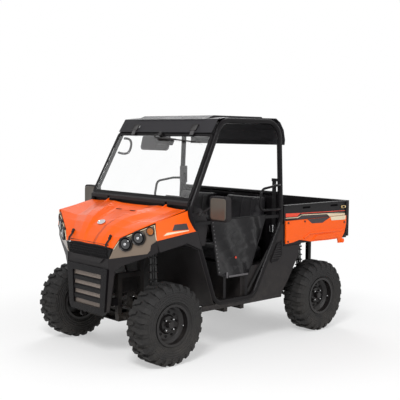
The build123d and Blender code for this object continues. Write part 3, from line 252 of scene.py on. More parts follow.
def makeGlass(name, colour, gloss, through):
    mat, surface, tone = startPaint(name, colour, 6, 0.04, gloss, 0.03)
    setInputs(surface, {"Base Color": tone, "Transmission Weight": through, "IOR": glassBend})
    return mat

def openPaint(name, channel):    # tree, shader, what feeds a channel, Object coordinates whole and split
    tree = paints[name].node_tree
    surface, place = tree.nodes["Principled BSDF"], addPlace(tree)
    was = surface.inputs[channel].links[0].from_node
    return tree, surface, was, place, addNode(tree, "SeparateXYZ", {0: place})

zones = {"slatFront": -1.3046, "plateLow": 0.8, "slat": (0.009, 0.0085, 0.009, 1), "cells": 105,
         "holes": {"From Min": 0.02, "From Max": 0.22, "To Min": 1.0, "To Max": 0.45}, "specular": 0.15}

def zoneGrille():    # taupe mesh behind, darker in each cell middle as painted shade for the mesh holes, black slats in front and a black plate above
    tree, surface, was, place, split = openPaint("grilleMesh", "Base Color")
    front = addMath(tree, "LESS_THAN", (split, "Y"), zones["slatFront"])
    above = addMath(tree, "GREATER_THAN", (split, "Z"), zones["plateLow"])
    cells = addNode(tree, "TexVoronoi", {"Vector": place, "Scale": zones["cells"], "Randomness": 0.25},
                    feature="DISTANCE_TO_EDGE")
    # cell middles drop to 0.45 of the mesh colour: painted shade standing in for the dark holes of the mesh
    holeShade = addNode(tree, "MapRange", {"Value": (cells, "Distance"), **zones["holes"]})
    shade = addNode(tree, "HueSaturation", {"Value": holeShade, "Color": was})
    black = addMath(tree, "MAXIMUM", front, above)
    mix = addNode(tree, "Mix", {0: black, 6: shade, 7: zones["slat"]}, data_type="RGBA")
    setInputs(surface, {"Base Color": (mix, 2), "Specular IOR Level": zones["specular"]})

tyreRings = {"axleMid": -0.073, "axleHalf": 0.927, "axleUp": 0.33, "ridges": 330, "depth": 0.0018,
             "fade": {"From Min": 0.275, "From Max": 0.285, "To Min": 1, "To Max": 0}}

def ringTyres():    # raised rings round each sidewall, told by the distance from its axle
    tree, surface, was, _, split = openPaint("tyreRubber", "Normal")
    size = addMath(tree, "ABSOLUTE", addMath(tree, "SUBTRACT", (split, "Y"), tyreRings["axleMid"]))
    fore = addMath(tree, "SUBTRACT", size, tyreRings["axleHalf"])
    high = addMath(tree, "SUBTRACT", (split, "Z"), tyreRings["axleUp"])
    flat = addNode(tree, "CombineXYZ", {"Y": fore, "Z": high})
    reach = (addNode(tree, "VectorMath", {0: flat}, operation="LENGTH"), "Value")
    ridge = addMath(tree, "SINE", addMath(tree, "MULTIPLY", reach, tyreRings["ridges"]))
    outer = addNode(tree, "MapRange", {"Value": reach, **tyreRings["fade"]})
    height = addMath(tree, "MULTIPLY", ridge, outer)
    bump = addNode(tree, "Bump", {"Height": height, "Normal": was, "Distance": tyreRings["depth"]})
    setInputs(surface, {"Normal": bump})

creases = {"from": -1.27,    # start of each side, its spread per metre back, and the rise between them
           "wall": (((0.064, 0.275), (0.1, 0.437)), 0.02),
           "shoulder": (((0.17, 0.567), (0.285, 0.557)), -0.012)}

def pressCreases():    # sharpens the valley walls and shoulders pressed into the hood
    tree, surface, last, _, split = openPaint("hoodPaint", "Normal")
    wide = addMath(tree, "ABSOLUTE", (split, "X"))
    back = addMath(tree, "SUBTRACT", (split, "Y"), creases["from"])
    for sides, rise in (creases["wall"], creases["shoulder"]):
        start, end = (addMath(tree, "MULTIPLY_ADD", back, spread, first) for first, spread in sides)
        slope = addNode(tree, "MapRange", {"Value": wide, "From Min": start, "From Max": end})
        last = addNode(tree, "Bump", {"Height": slope, "Normal": last, "Distance": abs(rise)},
                       invert=rise < 0)
    setInputs(surface, {"Normal": last})

paints = {name: makeFinish(name) for name in finishes}
pressCreases()
zoneGrille()
ringTyres()
paints["screenGlass"] = makeGlass("screenGlass", (0.975, 0.98, 0.98), 0.01, 1.0)
paints["amberGlass"] = makeGlass("amberGlass", (1.0, 0.28, 0.03), 0.12, 0.7)
print("materials made:", len(paints))

nodePaint = {
    "hoodPaint": "hood fender_left fender_right bed_panels",
    "mouldedBlack": "arch_liners cowl dash fascia floor_tub side_panel_left side_panel_right mirrors",
    "roofBlack": "roof",
    "powderCoat": "cage_left cage_right cage_cross shoulder_guards windshield_frame bumper",
    "chassisPaint": "frame suspension_arms skid_plate",
    "bedSteel": "cargo_bed tailgate",
    "lampPanel": "lamp_panels",
    "tyreRubber": "tyre_front_left tyre_front_right tyre_rear_left tyre_rear_right",
    "wheelBlack": "rim_front_left rim_front_right rim_rear_left rim_rear_right steering_wheel headlamps",
    "castMetal": "engine_block driveline knuckle_left knuckle_right steering_gear",
    "darkSteel": "exhaust steering_rack",
    "springSteel": "shock_absorbers",
    "seatVinyl": "seat_cushions seat_backs",
    "beltWeb": "door_nets seat_belts",
    "grilleMesh": "grille",
    "screenGlass": "windshield_glass",
    "amberGlass": "turn_lamps",
}
for paint, names in nodePaint.items():
    for name in names.split():
        nodes[name].data.materials.clear()
        nodes[name].data.materials.append(paints[paint])
print("nodes painted")

# ---- modelling helpers
def setMode(mode):
    bpy.ops.object.mode_set(mode=mode)

def pickPiece(piece=None):    # object mode, with nothing else selected
    if bpy.context.object and bpy.context.object.mode != "OBJECT":
        setMode("OBJECT")
    bpy.ops.object.select_all(action="DESELECT")
    if piece:
        bpy.context.view_layer.objects.active = piece
        piece.select_set(True)

def bakePlace():
    bpy.ops.object.transform_apply(location=True, rotation=True, scale=True)

def applyModifier(piece, kind, **settings):
    bpy.context.view_layer.objects.active = piece
    modifier = piece.modifiers.new(kind.lower(), kind)
    for key, value in settings.items():
        setattr(modifier, key, value)
    bpy.ops.object.modifier_apply(modifier=modifier.name)

def lean(degrees):    # a turn about the X axis
    return (math.radians(degrees), 0, 0)

def addBlock(name, centre, size, turn=(0, 0, 0)):
    pickPiece()
    bpy.ops.mesh.primitive_cube_add(size=1, location=centre, rotation=turn)
    piece = bpy.context.object
    piece.name, piece.scale = name, size
    bpy.ops.object.transform_apply(location=False, rotation=False, scale=True)
    return piece

def addDisc(name, centre, axis, radius, depth, sides):
    pickPiece()
    turn = Vector(axis).to_track_quat("Z", "Y").to_euler()
    bpy.ops.mesh.primitive_cylinder_add(vertices=sides, radius=radius, depth=depth, location=centre,
                                        rotation=turn)
    piece = bpy.context.object
    piece.name = name
    return piece

def linkPiece(name, data):
    piece = bpy.data.objects.new(name, data)
    bpy.context.collection.objects.link(piece)
    pickPiece(piece)
    return piece

def faceOutwards():
    setMode("EDIT")
    bpy.ops.mesh.select_all(action="SELECT")
    bpy.ops.mesh.normals_make_consistent(inside=False)
    setMode("OBJECT")

def addPlate(name, outline, out, thickness):    # outline points in space, thickened outwards
    mesh = bpy.data.meshes.new(name)
    form = bmesh.new()
    form.faces.new([form.verts.new(p) for p in outline])
    form.to_mesh(mesh)
    form.free()
    piece = linkPiece(name, mesh)
    setMode("EDIT")
    bpy.ops.mesh.select_all(action="SELECT")
    bpy.ops.mesh.extrude_region_move(TRANSFORM_OT_translate={"value": tuple(out * thickness)})
    faceOutwards()
    return piece

def addTube(name, points, radius, smooth=True, sides=3):    # a bent bar along given points
    curve = bpy.data.curves.new(name, "CURVE")
    curve.dimensions, curve.bevel_depth, curve.bevel_resolution, curve.resolution_u = "3D", radius, sides, 8
    curve.use_fill_caps = True
    line = curve.splines.new("NURBS" if smooth else "POLY")
    line.points.add(len(points) - 1)
    for spot, place in zip(line.points, points):
        spot.co = (*place, 1)
    if smooth:
        line.order_u, line.use_endpoint_u = 3, True
    linkPiece(name, curve)
    bpy.ops.object.convert(target="MESH")
    return bpy.context.object

def clearChoice(kind):    # from here faces or edges are picked, with none picked yet
    setMode("EDIT")
    bpy.ops.mesh.select_mode(type=kind)
    bpy.ops.mesh.select_all(action="DESELECT")
    setMode("OBJECT")

def chooseFaces(piece, test):    # leaves edit mode on, with just the faces whose normal passes
    clearChoice("FACE")
    for face in piece.data.polygons:
        face.select = test(face.normal)
    setMode("EDIT")

def insetSide(piece, out, steps, twoSided=False):    # insets the side that faces out, step by step
    chooseFaces(piece, lambda normal: (abs(normal.dot(out)) if twoSided else normal.dot(out)) > 0.9)
    for inset, depth in steps:
        bpy.ops.mesh.inset(thickness=inset, depth=depth)
    setMode("OBJECT")
    return piece

def roundCorners(piece, axis, radius):    # rounds the four edges that run along an axis
    clearChoice("EDGE")
    spots = [v.co for v in piece.data.vertices]
    for edge in piece.data.edges:
        run = spots[edge.vertices[1]] - spots[edge.vertices[0]]
        edge.select = abs(run.normalized().dot(axis)) > 0.95
    setMode("EDIT")
    bpy.ops.mesh.bevel(offset=radius, segments=5, affect="EDGES")
    setMode("OBJECT")

def finishPiece(piece, paint, body="chassis", slotName="black_plastic", bevel=0, segments=2, smooth=35):
    pickPiece(piece)
    if bevel:
        applyModifier(piece, "BEVEL", width=bevel, segments=segments, limit_method="ANGLE")
    bakePlace()
    piece.data.materials.clear()
    piece.data.materials.append(paints[paint])
    bpy.ops.object.shade_smooth_by_angle(angle=math.radians(smooth))
    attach(piece, body)
    return piece

def makeBlock(name, centre, size, out, steps, paint, turn=(0, 0, 0), corner=None, twoSided=False, **finish):
    piece = addBlock(name, centre, size, turn)
    if corner:
        roundCorners(piece, *corner)
    return finishPiece(insetSide(piece, out, steps, twoSided), paint, **finish)

def makeDisc(name, centre, axis, sizes, steps, paint, **finish):    # sizes: radius, depth, sides
    return finishPiece(insetSide(addDisc(name, centre, axis, *sizes), up, steps), paint, **finish)

def copyPiece(piece, name, place, flip=1):
    pickPiece(piece)
    bpy.ops.object.duplicate()
    other = bpy.context.object
    other.name, other.parent = name, None
    other.matrix_world = place
    other.scale.x = flip
    bakePlace()
    return other

def copyAcross(piece, body="chassis"):    # the same piece on the other side of the vehicle
    other = copyPiece(piece, piece.name.replace("Left", "Right"), Matrix.Identity(4), flip=-1)
    faceOutwards()
    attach(other, body)
    return other

def makeTube(name, points, radius, paint, body="chassis", slotName="black_plastic", smooth=True, sides=3):
    return finishPiece(addTube(name, points, radius, smooth, sides), paint, body, slotName)

def joinPieces(pieces, name):
    pickPiece()
    for piece in pieces:
        piece.select_set(True)
    bpy.context.view_layer.objects.active = pieces[0]
    bpy.ops.object.join()
    bpy.context.object.name = name
    return bpy.context.object

def touchNode(name, start, run):    # place and normal where a line from start first meets a node
    return nodes[name].ray_cast(Vector(start), run)[1:3]

# ---- headlamps: bezel, bowl and bulb; turn lamps: a ring
wing = {"start": (0.3, -1.31), "run": (0.39, 0.17)}
wingOut = Vector((wing["run"][1], -wing["run"][0], 0)).normalized()
lampSpots, turnSpot = ((0.439, 0.974), (0.545, 1.029)), (0.638, 1.088)
lampDiscs = {    # lift off the wing, radius with depth and sides, inset steps, finish, edge
    "lampBezel": (0.002, (0.06, 0.032, 48), ((0.004, 0.003), (0.004, -0.004), (0.008, -0.01), (0.006, -0.006),
                                              (0.014, -0.008), (0.01, 0.004)), "wheelBlack", 0.0012),
    "lampLens": (0.012, (0.04, 0.006, 48), ((0.008, 0.004), (0.01, 0.003), (0.01, 0.001)), "lampBowl", 0.001),
    "lampBulb": (0.02, (0.012, 0.006, 28), ((0.002, 0.003), (0.003, 0.001)), "brightMetal", 0.0008),
    "turnBezelLeft": (0.004, (0.036, 0.012, 48), ((0.003, 0.003), (0.004, -0.003), (0.001, -0.01)),
                      "wheelBlack", 0.001)}

def onWing(x, z, off):
    y = wing["start"][1] + (x - wing["start"][0]) * wing["run"][1] / wing["run"][0]
    return Vector((x, y, z)) + wingOut * off

def wingDisc(name, spot, slotName):
    lift, sizes, steps, paint, edge = lampDiscs[name]
    return makeDisc(name, onWing(*spot, lift), wingOut, sizes, steps, paint, slotName=slotName, bevel=edge)

def makeLamps():
    bezel = joinPieces([wingDisc("lampBezel", spot, "lamp_lens") for spot in lampSpots], "lampBezelsLeft")
    lenses = [wingDisc(name, spot, "lamp_lens") for spot in lampSpots for name in ("lampLens", "lampBulb")]
    lens = joinPieces(lenses, "lampLensesLeft")
    copyAcross(bezel)
    copyAcross(lens)
    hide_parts("headlamps")
    copyAcross(wingDisc("turnBezelLeft", turnSpot, "amber_lens"))

makeLamps()
print("lamps made")

# ---- hood: blank badge and rubber latches
hoodTrim = {"badge": (0, -1.172, 1.106), "badgeTilt": 33, "badgeSize": (0.046, 0.03), "badgeDepth": 0.008,
            "badgeSteps": ((0.005, 0.0), (0.002, -0.003), (0.016, 0.003)), "latchX": 0.265,
            "strapRadius": 0.0075,
            "strap": ((-1.276, 1.018), (-1.288, 0.988), (-1.3245, 0.96), (-1.3185, 0.93)),
            "knobs": ((-1.272, 1.02, 0.012), (-1.282, 1.004, 0.01)), "knobDepth": 0.02,
            "knobAxis": (0, -0.8, 0.6), "knobSteps": ((0.003, 0.002), (0.003, -0.002))}

def makeHoodTrim():
    tilt = math.radians(hoodTrim["badgeTilt"])
    wide, high = hoodTrim["badgeSize"]
    facing = (0, -math.sin(tilt), math.cos(tilt))
    badge = addDisc("hoodBadge", hoodTrim["badge"], facing, wide, hoodTrim["badgeDepth"], 48)
    badge.scale[1] = high / wide
    finishPiece(insetSide(badge, up, hoodTrim["badgeSteps"]), "brightMetal", "hood", "bare_steel", bevel=0.0008)
    x = hoodTrim["latchX"]
    strap = [(x, y, z) for y, z in hoodTrim["strap"]]
    parts = [makeTube("latchStrap", strap, hoodTrim["strapRadius"], "tyreRubber", "hood", sides=2)]
    for y, z, radius in hoodTrim["knobs"]:
        parts.append(makeDisc("latchKnob", (x, y, z), hoodTrim["knobAxis"], (radius, hoodTrim["knobDepth"], 20),
                              hoodTrim["knobSteps"], "tyreRubber", body="hood", bevel=0.001))
    copyAcross(joinPieces(parts, "hoodLatchLeft"), "hood")

makeHoodTrim()
print("hood trim made")

# ---- windscreen: wiper with its motor, and roof clips
screen = {"foot": (-0.7771, 1.3), "head": (-0.4929, 1.85)}
screenUp = (Vector((0, *screen["head"])) - Vector((0, *screen["foot"]))).normalized()
screenOut = Vector((0, -screenUp.z, screenUp.y))
wiper = {    # places are x, then up and off the screen
    "hub": (-0.005, 0.598, 0.022), "hubSizes": (0.022, 0.03, 32),
    "hubSteps": ((0.004, 0.002), (0.006, 0.002), (0.004, -0.002)), "armRadius": 0.006,
    "arm": ((-0.005, 0.598, 0.032), (-0.06, 0.592, 0.036), (-0.075, 0.56, 0.034), (0.05, 0.563, 0.03),
            (0.22, 0.552, 0.026)),
    "motor": (0.02, 0.555, -0.034), "motorSize": (0.2, 0.045, 0.055), "motorTilt": -27,
    "blade": ((-0.075, 0.572, 0), (0.23, 0.55, 0.002), (0.535, 0.528, 0)),
    "bladeTubes": ((0.017, 0.0035), (0.0225, 0.006))}
clips = {"x": 0.4, "base": (-0.492, 1.905), "baseSize": (0.075, 0.014, 0.062), "baseTilt": -32,
         "baseSteps": ((0.008, -0.004),), "tongue": (-0.512, 1.868), "tongueSize": (0.045, 0.01, 0.04),
         "tongueTilt": -28, "tongueTip": (0, -0.006, -0.01)}

def onScreen(x, high, off):
    return Vector((x, *screen["foot"])) + screenUp * high + screenOut * off

def makeWiper():
    parts = [makeDisc("wiperHub", onScreen(*wiper["hub"]), screenOut, wiper["hubSizes"], wiper["hubSteps"],
                      "wheelBlack", bevel=0.001),
             makeTube("wiperArm", [onScreen(*spot) for spot in wiper["arm"]], wiper["armRadius"], "wheelBlack")]
    motor = addBlock("wiperMotor", onScreen(*wiper["motor"]), wiper["motorSize"], lean(wiper["motorTilt"]))
    parts.append(finishPiece(motor, "mouldedBlack", bevel=0.012, segments=3))
    for lift, radius in wiper["bladeTubes"]:
        line = [onScreen(x, high, lift + off) for x, high, off in wiper["blade"]]
        parts.append(makeTube("wiperBlade", line, radius, "tyreRubber"))
    joinPieces(parts, "wiper")

def makeRoofClips():
    parts = []
    for x in (-clips["x"], clips["x"]):
        parts.append(makeBlock("clipBase", (x, *clips["base"]), clips["baseSize"], ahead, clips["baseSteps"],
                               "wheelBlack", lean(clips["baseTilt"]), bevel=0.002))
        tongue = addBlock("clipTongue", (x, *clips["tongue"]), clips["tongueSize"], lean(clips["tongueTilt"]))
        chooseFaces(tongue, lambda normal: normal.z < -0.9)
        bpy.ops.mesh.extrude_region_move(TRANSFORM_OT_translate={"value": clips["tongueTip"]})
        parts.append(finishPiece(tongue, "darkSteel", slotName="bare_steel", bevel=0.002))
    joinPieces(parts, "roofClips")

makeWiper()
makeRoofClips()
print("windscreen trim made")

# ---- stripes on the bed, no lettering
bedFaces = {"rail": 0.6869, "band": 0.6878, "panel": 0.7007, "skin": 0.0009}
bedStripes = {    # finish, face that carries it, outline seen from the left
    "bedBandLeft": ("stripeBlack", "rail", ((0.372, 1.071), (1.262, 1.069), (1.262, 1.128), (0.372, 1.142))),
    "bedCreamLeft": ("creamPrintAndHighlight", "band", ((0.378, 1.092), (0.548, 1.088), (0.6, 1.108), (1.256, 1.09),
                                             (1.256, 1.096), (0.612, 1.1145), (0.54, 1.0945), (0.378, 1.098))),
    "bedCreamBlockLeft": ("creamPrintAndHighlight", "band", ((1.014, 1.071), (1.256, 1.071), (1.256, 1.0955),
                                                  (0.975, 1.0975))),
    "bedRedLeft": ("stripeRed", "band", ((0.378, 1.1045), (0.538, 1.101), (0.586, 1.131), (0.378, 1.1385))),
    "bedRedLineLeft": ("stripeRed", "band", ((0.592, 1.1245), (1.258, 1.112), (1.258, 1.1175),
                                             (0.596, 1.1305))),
    "bedGreyLeft": ("stripeGrey", "band", ((0.548, 1.0715), (0.985, 1.0715), (0.968, 1.0955), (0.604, 1.106))),
    "bedPanelGreyLeft": ("stripeGrey", "panel", ((0.668, 1.0685), (1.014, 1.0685), (0.892, 1.0205),
                                                 (0.738, 1.0255))),
    "bedPanelCreamLeft": ("creamPrintAndHighlight", "panel", ((1.012, 1.0695), (1.252, 1.069), (1.248, 1.029),
                                                   (1.03, 1.0345)))}

def makeStripes():
    for name, (paint, face, outline) in bedStripes.items():
        plate = addPlate(name, [(bedFaces[face], y, z) for y, z in outline], left, bedFaces["skin"])
        copyAcross(finishPiece(plate, paint, "cargo_bed", smooth=20), "cargo_bed")

makeStripes()
print("stripes made")

# ---- seats: cloth-simulated cushions with sewn channels
seat = {"x": 0.32, "edge": 0.022, "pressure": 4, "frames": 20, "voxel": 0.0096, "quickVoxel": 0.018,
        "cap": 0.014, "fill": 0.8, "channels": (-0.12, 0.0, 0.12), "channelDepth": 0.005, "channelReach": 0.009}
seatForms = {    # place, size, tilt, side with the cover's seam, its inset, the node it stands for
    "seatCushion": ((0.032, 0.775), (0.47, 0.4, 0.118), 0, up, (0.03, 0.008), "seat_cushions"),
    "seatBack": ((0.222, 1.085), (0.47, 0.075, 0.42), -6, ahead, (0.035, 0.01), "seat_backs")}

def puff(piece):    # swells a closed form like a stuffed cover
    applyModifier(piece, "REMESH", mode="VOXEL", voxel_size=seat["voxel"])
    start = [v.co.copy() for v in piece.data.vertices]
    cloth = piece.modifiers.new("cloth", "CLOTH")
    cloth.settings.use_pressure = True
    cloth.settings.uniform_pressure_force = seat["pressure"]
    cloth.settings.effector_weights.gravity = 0
    for step in range(seat["frames"]):
        bpy.context.scene.frame_set(step + 1)
    bpy.ops.object.modifier_apply(modifier="cloth")
    for vertex, old in zip(piece.data.vertices, start):
        move = vertex.co - old
        if move.length > seat["cap"]:
            vertex.co = old + move.normalized() * seat["cap"]
    bpy.context.scene.frame_set(1)

def sewChannels(piece, x, out):    # grooves pressed into the cover
    for vertex in piece.data.vertices:
        for channel in seat["channels"]:
            near = abs(vertex.co.x - x - channel) / seat["channelReach"]
            if near < 1:
                vertex.co -= out * seat["channelDepth"] * (1 - near * near)

def makeSeats():
    for x, word in ((seat["x"], "Left"), (-seat["x"], "Right")):
        for form, (place, size, tilt, out, step, node) in seatForms.items():
            piece = addBlock(form + word, (x, *place), size, lean(tilt))
            bakePlace()
            insetSide(piece, out, [step])
            applyModifier(piece, "BEVEL", width=seat["edge"], segments=3)
            puff(piece)
            sewChannels(piece, x, out)
            finishPiece(piece, "seatVinyl", slotName="seat_vinyl", smooth=180)
            if word == "Left":
                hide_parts(node)

makeSeats()
print("seats made")

# ---- door nets: slack vinyl screens with hems, straps, bars and eyelets
net = {"x": 0.676, "outline": ((-0.546, 1.133), (-0.458, 0.672), (-0.362, 0.636), (-0.093, 0.631),
                               (0.127, 1.141)),
       "columns": 70, "rows": 60, "folds": 0.024, "sag": 0.02, "thick": 0.002, "hem": 0.007,
       "straps": (((-0.722, 1.115), (-0.54, 1.118)), ((0.118, 1.122), (0.296, 1.12)),
                  ((-0.38, 0.457), (-0.382, 0.645)), ((-0.115, 0.457), (-0.113, 0.645))),
       "strapHalf": 0.014, "strapThick": 0.003, "barLift": 0.002, "barThick": 0.008,
       "bars": (((-0.215, 0.64), (0.235, 0.016)), ((-0.352, 0.655), (0.016, 0.05))),
       "eyelets": 14, "eyeletLift": 0.007, "eyeletIn": 0.012, "eyeletSizes": (0.0065, 0.003, 12)}

def makeSheet():
    pickPiece()
    bpy.ops.mesh.primitive_grid_add(x_subdivisions=net["columns"], y_subdivisions=net["rows"], size=1)
    sheet = bpy.context.object
    sheet.name = "doorNetLeft"
    frontTop, frontLow, _, rearLow, rearTop = (Vector(spot) for spot in net["outline"])
    for vertex in sheet.data.vertices:
        s, t = vertex.co.x + 0.5, vertex.co.y + 0.5    # s runs front to rear, t upwards
        y, z = frontLow.lerp(frontTop, t).lerp(rearLow.lerp(rearTop, t), s)
        belly = math.sin(math.pi * s) * math.sin(math.pi * t)
        crease = abs(math.sin(8 * s + 7 * t)) * 0.6 + abs(math.sin(6 * s - 13 * t + 1.3)) * 0.4 - 0.4
        drop = net["sag"] * math.sin(math.pi * s) * (1 - t)
        vertex.co = (net["x"] - net["folds"] * belly * (0.6 + crease), y, z - drop)
    applyModifier(sheet, "SOLIDIFY", thickness=net["thick"], offset=0)
    finishPiece(sheet, "netVinyl", slotName="webbing", smooth=60)
    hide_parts("door_nets")
    return sheet

def makeNetTrim():
    x = net["x"]
    corners = [(x, y, z) for y, z in net["outline"]]
    hem = addTube("netHem", corners + corners[:1], net["hem"], smooth=False, sides=1)
    trims = [finishPiece(hem, "beltWeb", slotName="webbing")]
    for start, end in net["straps"]:
        a, b = Vector((x - net["strapThick"] / 2, *start)), Vector((x - net["strapThick"] / 2, *end))
        across = left.cross(b - a).normalized() * net["strapHalf"]
        strap = addPlate("netStrap", [a - across, b - across, b + across, a + across], left, net["strapThick"])
        trims.append(finishPiece(strap, "beltWeb", slotName="webbing", bevel=0.0006))
    for place, size in net["bars"]:
        trims.append(makeBlock("netBar", (x + net["barLift"], *place), (net["barThick"], *size), left,
                               [(0.004, 0.002)], "visorGrey", slotName="webbing", bevel=0.002))
    top, low = (Vector(spot) for spot in net["outline"][:2])
    for step in range(net["eyelets"]):
        y, z = top.lerp(low, (step + 0.5) / net["eyelets"])
        trims.append(makeDisc("netEyelet", (x + net["eyeletLift"], y + net["eyeletIn"], z), left,
                              net["eyeletSizes"],
                              [(0.002, 0.001), (0.001, -0.002)], "visorGrey", slotName="webbing"))
    return joinPieces(trims, "netTrimLeft")

def makeNets():
    sheet, trim = makeSheet(), makeNetTrim()
    other = copyAcross(sheet)
    copyAcross(trim)

makeNets()
print("door nets made")

# ---- mirrors: a bronze cover on each shell, ball joints on the stalks
mirror = {"centre": (0.8775, 1.251), "cover": (0.176, 0.008, 0.176),
          "coverSteps": ((0.007, 0.002), (0.006, -0.0015)),
          "coverCorner": 0.028, "joints": (((0.7, -0.7, 1.196), 0.02), ((0.835, -0.644, 1.281), 0.016)),
          "jointAxis": (0.8, 0.4, 0.5), "jointSteps": ((0.004, 0.004), (0.005, 0.002), (0.004, -0.002))}

def makeMirrors():
    joints = [makeDisc("stalkJoint", place, mirror["jointAxis"], (radius, 0.034, 24), mirror["jointSteps"],
                       "wheelBlack", bevel=0.002) for place, radius in mirror["joints"]]
    copyAcross(joinPieces(joints, "mirrorJointsLeft"))
    x, z = mirror["centre"]
    place, _ = touchNode("mirrors", (x + 0.02, -2, z), behind)
    cover = makeBlock("mirrorCoverLeft", (x + 0.004, place.y - 0.001, z), mirror["cover"], ahead,
                      mirror["coverSteps"],
                      "bronzeShell", corner=(behind, mirror["coverCorner"]), bevel=0.003, segments=3)
    copyAcross(cover)

makeMirrors()
print("mirrors made")

# ---- grille: honeycomb cells on the upper plate
grilleTrim = {"cell": 0.0135, "depth": 0.005, "rows": 4, "columns": 23, "start": (-0.2575, -1.3087, 0.8565),
              "cellSteps": ((0.0024, 0.0), (0.0006, -0.0042))}

def repeatPiece(piece, count, offset):
    applyModifier(piece, "ARRAY", count=count, use_relative_offset=False, use_constant_offset=True,
                  constant_offset_displace=offset)

def makeGrilleTrim():
    wide, high = grilleTrim["cell"] * math.sqrt(3), grilleTrim["cell"] * 1.5
    x, y, z = grilleTrim["start"]
    parts = []
    for row in range(grilleTrim["rows"]):
        cell = addDisc("grilleCell", (x + (row % 2) * wide / 2, y, z + row * high), ahead, grilleTrim["cell"],
                       grilleTrim["depth"], 6)
        insetSide(cell, up, grilleTrim["cellSteps"])
        bakePlace()
        repeatPiece(cell, grilleTrim["columns"] - row % 2, (wide, 0, 0))
        parts.append(finishPiece(cell, "powderCoat"))
    joinPieces(parts, "grilleCells")

makeGrilleTrim()
print("grille trim made")

# ---- lamp panels: a thin pale line along the hood and the fender, a painted highlight on the panel edge; hood: two dark vent slots, near-black plates that are painted shade for the openings
lampEdgeHighlight = {"line": ((0.337, 0.9225), (0.39, 1.0035), (0.532, 1.0745), (0.671, 1.137), (0.687, 1.02)),
            "lift": 0.004, "radius": 0.0034}
hoodSlots = {"places": ((-0.145, -0.905), (0.11, -0.905)), "size": (0.13, 0.014, 0.0026)}

def makeLampEdgeHighlights():
    # a pale cream tube along the panel edge: painted highlight where the edge catches the light
    spots = [onWing(x, z, lampEdgeHighlight["lift"]) for x, z in lampEdgeHighlight["line"]]
    copyAcross(makeTube("lampEdgeLeft", spots, lampEdgeHighlight["radius"], "creamPrintAndHighlight", "chassis", "orange_panel",
                        False, 2))

def makeHoodSlots():
    parts = []
    for spot in hoodSlots["places"]:
        place, normal = touchNode("hood", (*spot, 3), -up)
        # each slot is a near-black plate on the hood, painted shade for the vent opening
        parts.append(makeBlock("hoodSlot", place, hoodSlots["size"], up, [(0.002, 0), (0.0006, -0.001)],
                               "slotShadeBlack",
                               normal.to_track_quat("Z", "Y").to_euler(), body="hood", bevel=0.0005))
    joinPieces(parts, "hoodSlots")

makeLampEdgeHighlights()
makeHoodSlots()
print("lamp edges and hood slots made")

# ---- fender stripes, no lettering
fenderStripes = {"skin": 0.0012, "lift": 0.0002, "marks": {
    "fenderBlockLeft": ("stripeGrey", ((-0.985, 1.083), (-0.812, 1.081), (-0.826, 1.131), (-0.955, 1.13))),
    "fenderLineLeft": ("creamPrintAndHighlight", ((-1.08, 1.05), (-0.812, 1.071), (-0.809, 1.0775), (-1.04, 1.0715)))}}

def makeFenderStripes():
    for name, (paint, outline) in fenderStripes["marks"].items():
        spots = [(touchNode("fender_left", (2, y, z), -left)[0].x + fenderStripes["lift"], y, z)
                 for y, z in outline]
        plate = addPlate(name, spots, left, fenderStripes["skin"])
        copyAcross(finishPiece(plate, paint, slotName="orange_panel", smooth=20))

makeFenderStripes()
print("fender stripes made")

# ---- bed: screws, slots in the upper rail, and ribs
bed = {"screws": ((0.403, 1.051), (0.634, 1.051), (1.232, 1.005), (0.4, 0.88)),
       "screwSizes": (0.009, 0.005, 20),
       "screwSteps": ((0.0025, 0.0012), (0.003, -0.0016)), "slots": ((0.672, 1.178), (1.085, 1.176)),
       "slotSize": (0.002, 0.105, 0.017), "slotSteps": ((0.003, 0), (0.001, -0.0014)), "edge": 0.0006,
       "rib": ((0.625, 0.893), (0.705, 0.934), (1.172, 0.93), (1.24, 0.95)), "ribRadius": 0.0105}
bedFloor = {"start": (0.42, -0.6), "end": 1.24, "size": (0.046, 0.006), "sunk": 0.0005, "count": 13,
            "pitch": 0.1}

def makeBedSides():
    rail, panel = bedFaces["rail"], bedFaces["panel"]
    finish = {"body": "cargo_bed", "slotName": "black_steel", "bevel": bed["edge"]}
    parts = [makeDisc("bedScrew", (panel + 0.002, y, z), left, bed["screwSizes"], bed["screwSteps"],
                      "wheelBlack", **finish) for y, z in bed["screws"]]
    # the rail slots are near-black plates, painted shade for their openings
    parts += [makeBlock("bedSlot", (rail + 0.0006, y, z), bed["slotSize"], left, bed["slotSteps"],
                        "slotShadeBlack", **finish) for y, z in bed["slots"]]
    copyAcross(joinPieces(parts, "bedScrewsLeft"), "cargo_bed")
    line = [(panel - 0.0015, y, z) for y, z in bed["rib"]]
    rib = makeTube("bedRibLeft", line, bed["ribRadius"], "hoodPaint", "cargo_bed", "orange_panel", False)
    copyAcross(rib, "cargo_bed")

def makeBedFloor():    # pressed ribs along the bed floor
    place, _ = touchNode("cargo_bed", (0.1, 0.8, 3), -up)
    (y, x), end, (wide, high) = bedFloor["start"], bedFloor["end"], bedFloor["size"]
    rib = addBlock("bedFloorRibs", (x, (y + end) / 2, place.z + high / 2 - bedFloor["sunk"]),
                   (wide, end - y, high))
    insetSide(rib, up, [(0.006, 0.001)])
    bakePlace()
    repeatPiece(rib, bedFloor["count"], (bedFloor["pitch"], 0, 0))
    finishPiece(rib, "bedSteel", "cargo_bed", "black_steel", bevel=0.0015)

makeBedSides()
makeBedFloor()
print("bed details made")

# ---- rubber seals inside the rings' rear legs
seal = {"from": (0.664, 0.236, 0.9), "to": (0.664, -0.088, 0.478), "radius": 0.0125, "steps": 88, "waist": 0.72}

